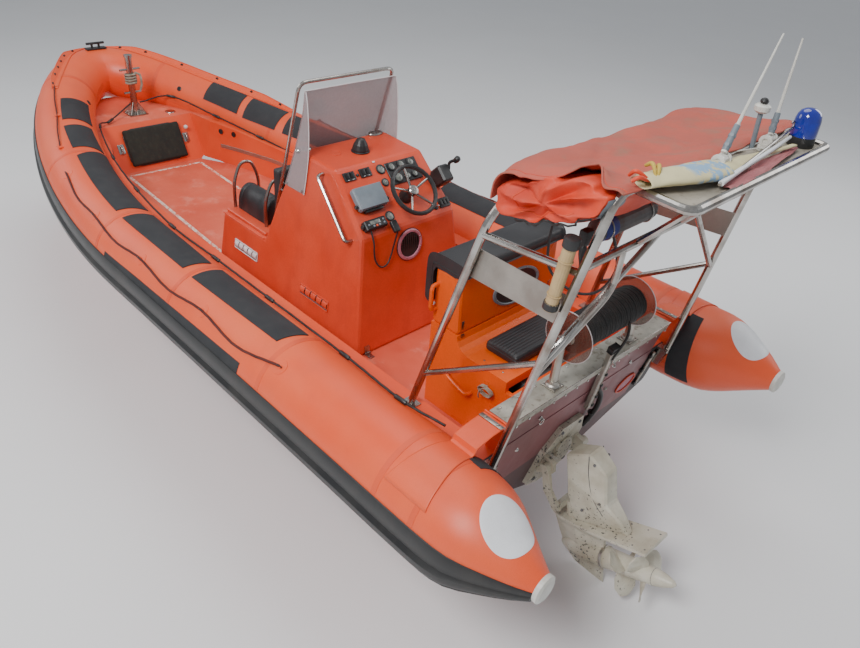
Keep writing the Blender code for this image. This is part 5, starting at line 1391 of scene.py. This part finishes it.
for s in (-1, 1):
    block("foot_hinge_%d" % (s > 0), (s * 0.418, 1.43, 0.004), (0.02, 0.03, 0.0035), STEEL, bevel=0.0015)
    sweep("foot_hinge_pin_%d" % (s > 0), [(s * 0.418 - 0.022, 1.455, 0.012),
        (s * 0.418 + 0.022, 1.455, 0.012)], 0.0065, STEEL, sides=10)
    block("foot_hinge_leaf_%d" % (s > 0), on_aft(s * 0.418, 0.04, 0.003), (0.02, 0.026, 0.0025), STEEL,
        axes=(X, Vector((0, 0.124, 0.992)), AFT_OUT), bevel=0.0015)
sweep("seat_ledge", curved([(-0.455, 2.6, 0.398), (-0.458, 2.8, 0.399), (-0.458, 3.0, 0.399),
    (-0.455, 3.15, 0.398)], 6), 0.006, GEL)

# Windscreen edges and screws
SHEET = ((0.89, 2.165, 2.411, 0.4056), (1.0, 2.155, 2.375, 0.3931), (1.155, 2.145, 2.325, 0.3791),
    (1.3, 2.143, 2.278, 0.3751), (1.43, 2.15, 2.236, 0.3731), (1.51, 2.16, 2.211, 0.3721),
    (1.56, 2.172, 2.197, 0.3711))
for s, label in SIDES:
    sweep("windscreen_edge_" + label, curved([(s * (h + 0.0005), a, z) for z, a, f, h in SHEET], 6),
        0.0032, EDGE, sides=8)
    for n, (z, y, h) in enumerate(((0.905, 2.19, 0.405), (0.905, 2.36, 0.405))):
        turned("windscreen_screw_%s_%d" % (label, n), (s * (h - 0.001), y, z), (s, 0, 0.1),
            ((0.0, 0.01), (0.004, 0.009), (0.006, 0.004)), STEEL, sides=16)
sweep("windscreen_edge_top", [(-0.371, 2.186, 1.5605), (0, 2.19, 1.5605), (0.371, 2.186, 1.5605)], 0.0032,
    EDGE, sides=8)

# Steering wheel: steel spokes' sleeves and hub cap
WHEEL = on_dash(0.06, 0.18, 0.115)
turned("wheel_hub_cap", WHEEL - DASH_OUT * 0.01, DASH_OUT, ((0.0, 0.036), (0.006, 0.036), (0.012, 0.03),
    (0.013, 0.018), (0.01, 0.016), (0.01, 0.008), (0.014, 0.006)), STEEL, "wheel", 32)
for k in range(5):
    a = pi / 2 + 2 * pi * k / 5
    radial = cos(a) * X + sin(a) * DASH
    sweep("wheel_spoke_%d" % k, [WHEEL - DASH_OUT * (0.024 - 0.022 * t) + radial * (0.03 + 0.122 * t)
        for t in (0.0, 0.3, 0.6, 1.0)], lambda s: 0.0092 - 0.001 * s, STEEL, "wheel", 12)

# Engine box and bench
HANDLE = ((0.43, 0.7, 0.33), (0.462, 0.695, 0.328), (0.476, 0.675, 0.322), (0.478, 0.61, 0.3),
    (0.476, 0.545, 0.28), (0.462, 0.525, 0.274), (0.43, 0.52, 0.272))
for s, name in ((-1, "box_handle"), (1, "box_handle_starboard")):
    sweep(name, curved([(s * x, y, z) for x, y, z in HANDLE], 6), 0.012, BRIGHT, sides=12)
for s in (-1, 1):
    block("bench_latch_%d" % (s > 0), (s * 0.388, 0.681, 0.632), (0.011, 0.004, 0.032), STEEL,
        "helm_seat", bevel=0.003)
    block("bench_catch_%d" % (s > 0), (s * 0.388, 0.672, 0.57), (0.013, 0.004, 0.012), STEEL, bevel=0.003)
    turned("bench_pin_%d" % (s > 0), (s * 0.425, 0.88, 0.7), (s, 0, 0), ((0.0, 0.01), (0.01, 0.008)),
        WHITE, "helm_seat", 16)


def on_bench(x, z, out):
    """Point on the aft face of the helm bench."""
    return Vector((x, 0.676 + (z - 0.5805) * 0.0384, z)) + Vector((0, -1, 0.0384)) * out


rows = []
for s, out in ((1.0, 0.0005), (0.985, 0.006), (0.9, 0.008), (0.87, 0.003), (0.8, 0.0015), (0.4, 0.001),
        (0.02, 0.001)):
    rows.append([on_bench(0.06 + 0.2 * s * cos(t) * (1 + 0.05 * cos(2 * t)), 0.742 + 0.118 * s * sin(t),
        out) for t in angles(56)])
loft("bench_opening_rim", rows[:4], GREY, "helm_seat", caps=False)
# The black sheet inside the grey rim is painted shade: the dark inside of the opening.
loft("bench_opening", rows[3:], BLACK, "helm_seat", caps=False)
for k in range(8):
    a = 2 * pi * (k + 0.5) / 8
    turned("bench_opening_screw_%d" % k, on_bench(0.06 + 0.188 * cos(a), 0.742 + 0.11 * sin(a), 0.0075),
        (0, -1, 0), ((0.0, 0.005), (0.002, 0.003)), STEEL, "helm_seat", 10)
sweep("box_seam", [(-0.4308, 0.28, 0.49), (-0.4308, 0.4, 0.4895), (-0.4308, 0.585, 0.4895)], 0.0018,
    BRIGHT, sides=6)
for n, (x, y) in enumerate(((-0.375, 0.36), (-0.375, 0.42), (-0.375, 0.5), (0.375, 0.36), (0.375, 0.42),
        (0.375, 0.5))):
    turned("box_screw_%d" % n, (x, y, 0.49), Z, ((0.0, 0.007), (0.002, 0.006), (0.0025, 0.003)), STEEL,
        sides=12)
hank = [Vector((-0.44 - 0.0105 * k / 8, 0.4 + 0.05 * sin(2 * pi * k / 8),
    0.372 + 0.026 * cos(2 * pi * k / 8))) for k in range(25)]
hank += [Vector((-0.476, 0.425, 0.372)), Vector((-0.477, 0.432, 0.34)), Vector((-0.47, 0.43, 0.315))]
lead("box_lashing", hank, 0.0038, LINE_GREY, "hull", "knot", "limp", "coiled")

# Bow post rope
coil = [Vector((0.047 * cos(a), 5.57 + 0.047 * sin(a), 0.7 + 0.0255 * a / (2 * pi)))
    for a in (2 * pi * k / 24 for k in range(24 * 4 + 1))]
coil += [Vector((0.078, 5.535, 0.792)), Vector((0.082, 5.52, 0.74)), Vector((0.074, 5.515, 0.69)),
    Vector((0.062, 5.517, 0.65))]
far = spread(coil, 200)
rope = sweep("bow_rope", far, 0.0105, LINE_GREY, sides=12, strands=3, lay=90.0)

# Stern drive
TRIM = radians(21.0)
E_AFT, E_UP = Vector((0.0, -cos(TRIM), sin(TRIM))), Vector((0.0, sin(TRIM), cos(TRIM)))


def drive(a, h, x=0.0):
    """Point in the drive's own directions: a aft along the shaft, h up along the leg."""
    return E_AFT * a + E_UP * h + Vector((x, 0, 0))


turned("drive_seal", drive(0.082, -0.762), E_AFT, ((0.0, 0.0712), (0.003, 0.0735), (0.02, 0.0735),
    (0.0228, 0.0712)), PLATE, "leg", 40)
for s in (-1, 1):
    for n, (a, h) in enumerate(((0.15, -0.07), (0.03, -0.19), (0.15, -0.33), (0.01, -0.42))):
        w = 0.066 if h > -0.25 else 0.062
        turned("drive_screw_%d_%d" % (s > 0, n), drive(a, h, s * w), (s, 0, 0),
            ((0.0, 0.009), (0.01, 0.009), (0.0125, 0.005)), CASTING, "leg", 8)
    for n, (a, h) in enumerate(((0.25, -0.5195), (0.36, -0.5195), (0.44, -0.5195))):
        turned("plate_screw_%d_%d" % (s > 0, n), drive(a, h, s * 0.085), E_UP,
            ((0.0, 0.006), (0.002, 0.004)), CASTING, "leg", 10)
    turned("shield_bolt_%d" % (s > 0), on_transom(s * 0.15, -0.315, 0.034), CAP_AFT,
        ((0.0, 0.016), (0.008, 0.015), (0.011, 0.008)), CASTING)
    turned("shield_bolt_top_%d" % (s > 0), on_transom(s * 0.085, 0.085, 0.034), CAP_AFT,
        ((0.0, 0.012), (0.007, 0.011), (0.01, 0.006)), CASTING)
edge = [drive(a, h, -w) for a, h, w in ((0.12, -0.02, 0.0718), (0.1, -0.15, 0.0735),
    (0.105, -0.3, 0.0705), (0.15, -0.42, 0.056))]
for s in (1, -1):
    sweep("drive_joint_%d" % (s > 0), curved([Vector((p.x * s, p.y, p.z)) for p in edge], 6), 0.0028,
        CASTING, "leg", sides=6)
for n, d in enumerate((0.432, 0.47)):
    turned("cone_ring_%d" % n, drive(d, -0.762), E_AFT, ((0.0, 0.0545 - 0.2 * (d - 0.425)),
        (0.003, 0.0545 - 0.2 * (d - 0.425))), CASTING, "rear_propeller", 32)

# Floor and light
floor_mesh = bpy.data.meshes.new("floor")
FLOOR_REACH, FLOOR_Z = 90.0, cad_box[0].z - 0.004
corners = ((-1, -1), (1, -1), (1, 1), (-1, 1))
floor_mesh.from_pydata([(FLOOR_REACH * x, FLOOR_REACH * y, FLOOR_Z) for x, y in corners], [],
    [(0, 1, 2, 3)])
floor_paint = Paint("floor", "white_plastic")
floor_noise = floor_paint.noise(0.8, 3.0)
floor_mesh.materials.append(floor_paint.finish(floor_paint.mix(floor_noise, (0.8, 0.8, 0.8),
    (0.84, 0.84, 0.84)), floor_paint.range(floor_noise, 0.3, 0.7, 0.75, 0.85)))
floor = bpy.data.objects.new("floor", floor_mesh)
bpy.context.scene.collection.objects.link(floor)

LIGHTS = (
    # place, size, watts
    ((-7.0, -3.0, 8.0), 3.5, 900.0), ((2.0, 1.0, 9.0), 7.0, 330.0), ((8.0, -4.0, 4.5), 5.0, 170.0),
    ((-4.0, 8.0, 5.0), 5.0, 150.0),
)
for n, (place, size, watts) in enumerate(LIGHTS):
    lamp = bpy.data.lights.new("light_%d" % n, "AREA")
    lamp.shape, lamp.size, lamp.energy = "DISK", size, watts
    holder = bpy.data.objects.new("light_%d" % n, lamp)
    holder.location = place
    holder.rotation_euler = (-Vector(place)).to_track_quat("-Z", "Y").to_euler()
    bpy.context.scene.collection.objects.link(holder)
world = bpy.data.worlds.new("studio")
world.use_nodes = True
world.node_tree.nodes["Background"].inputs["Color"].default_value = (0.9, 0.94, 1.0, 1.0)
world.node_tree.nodes["Background"].inputs["Strength"].default_value = 0.42
bpy.context.scene.world = world

bpy.context.view_layer.update()
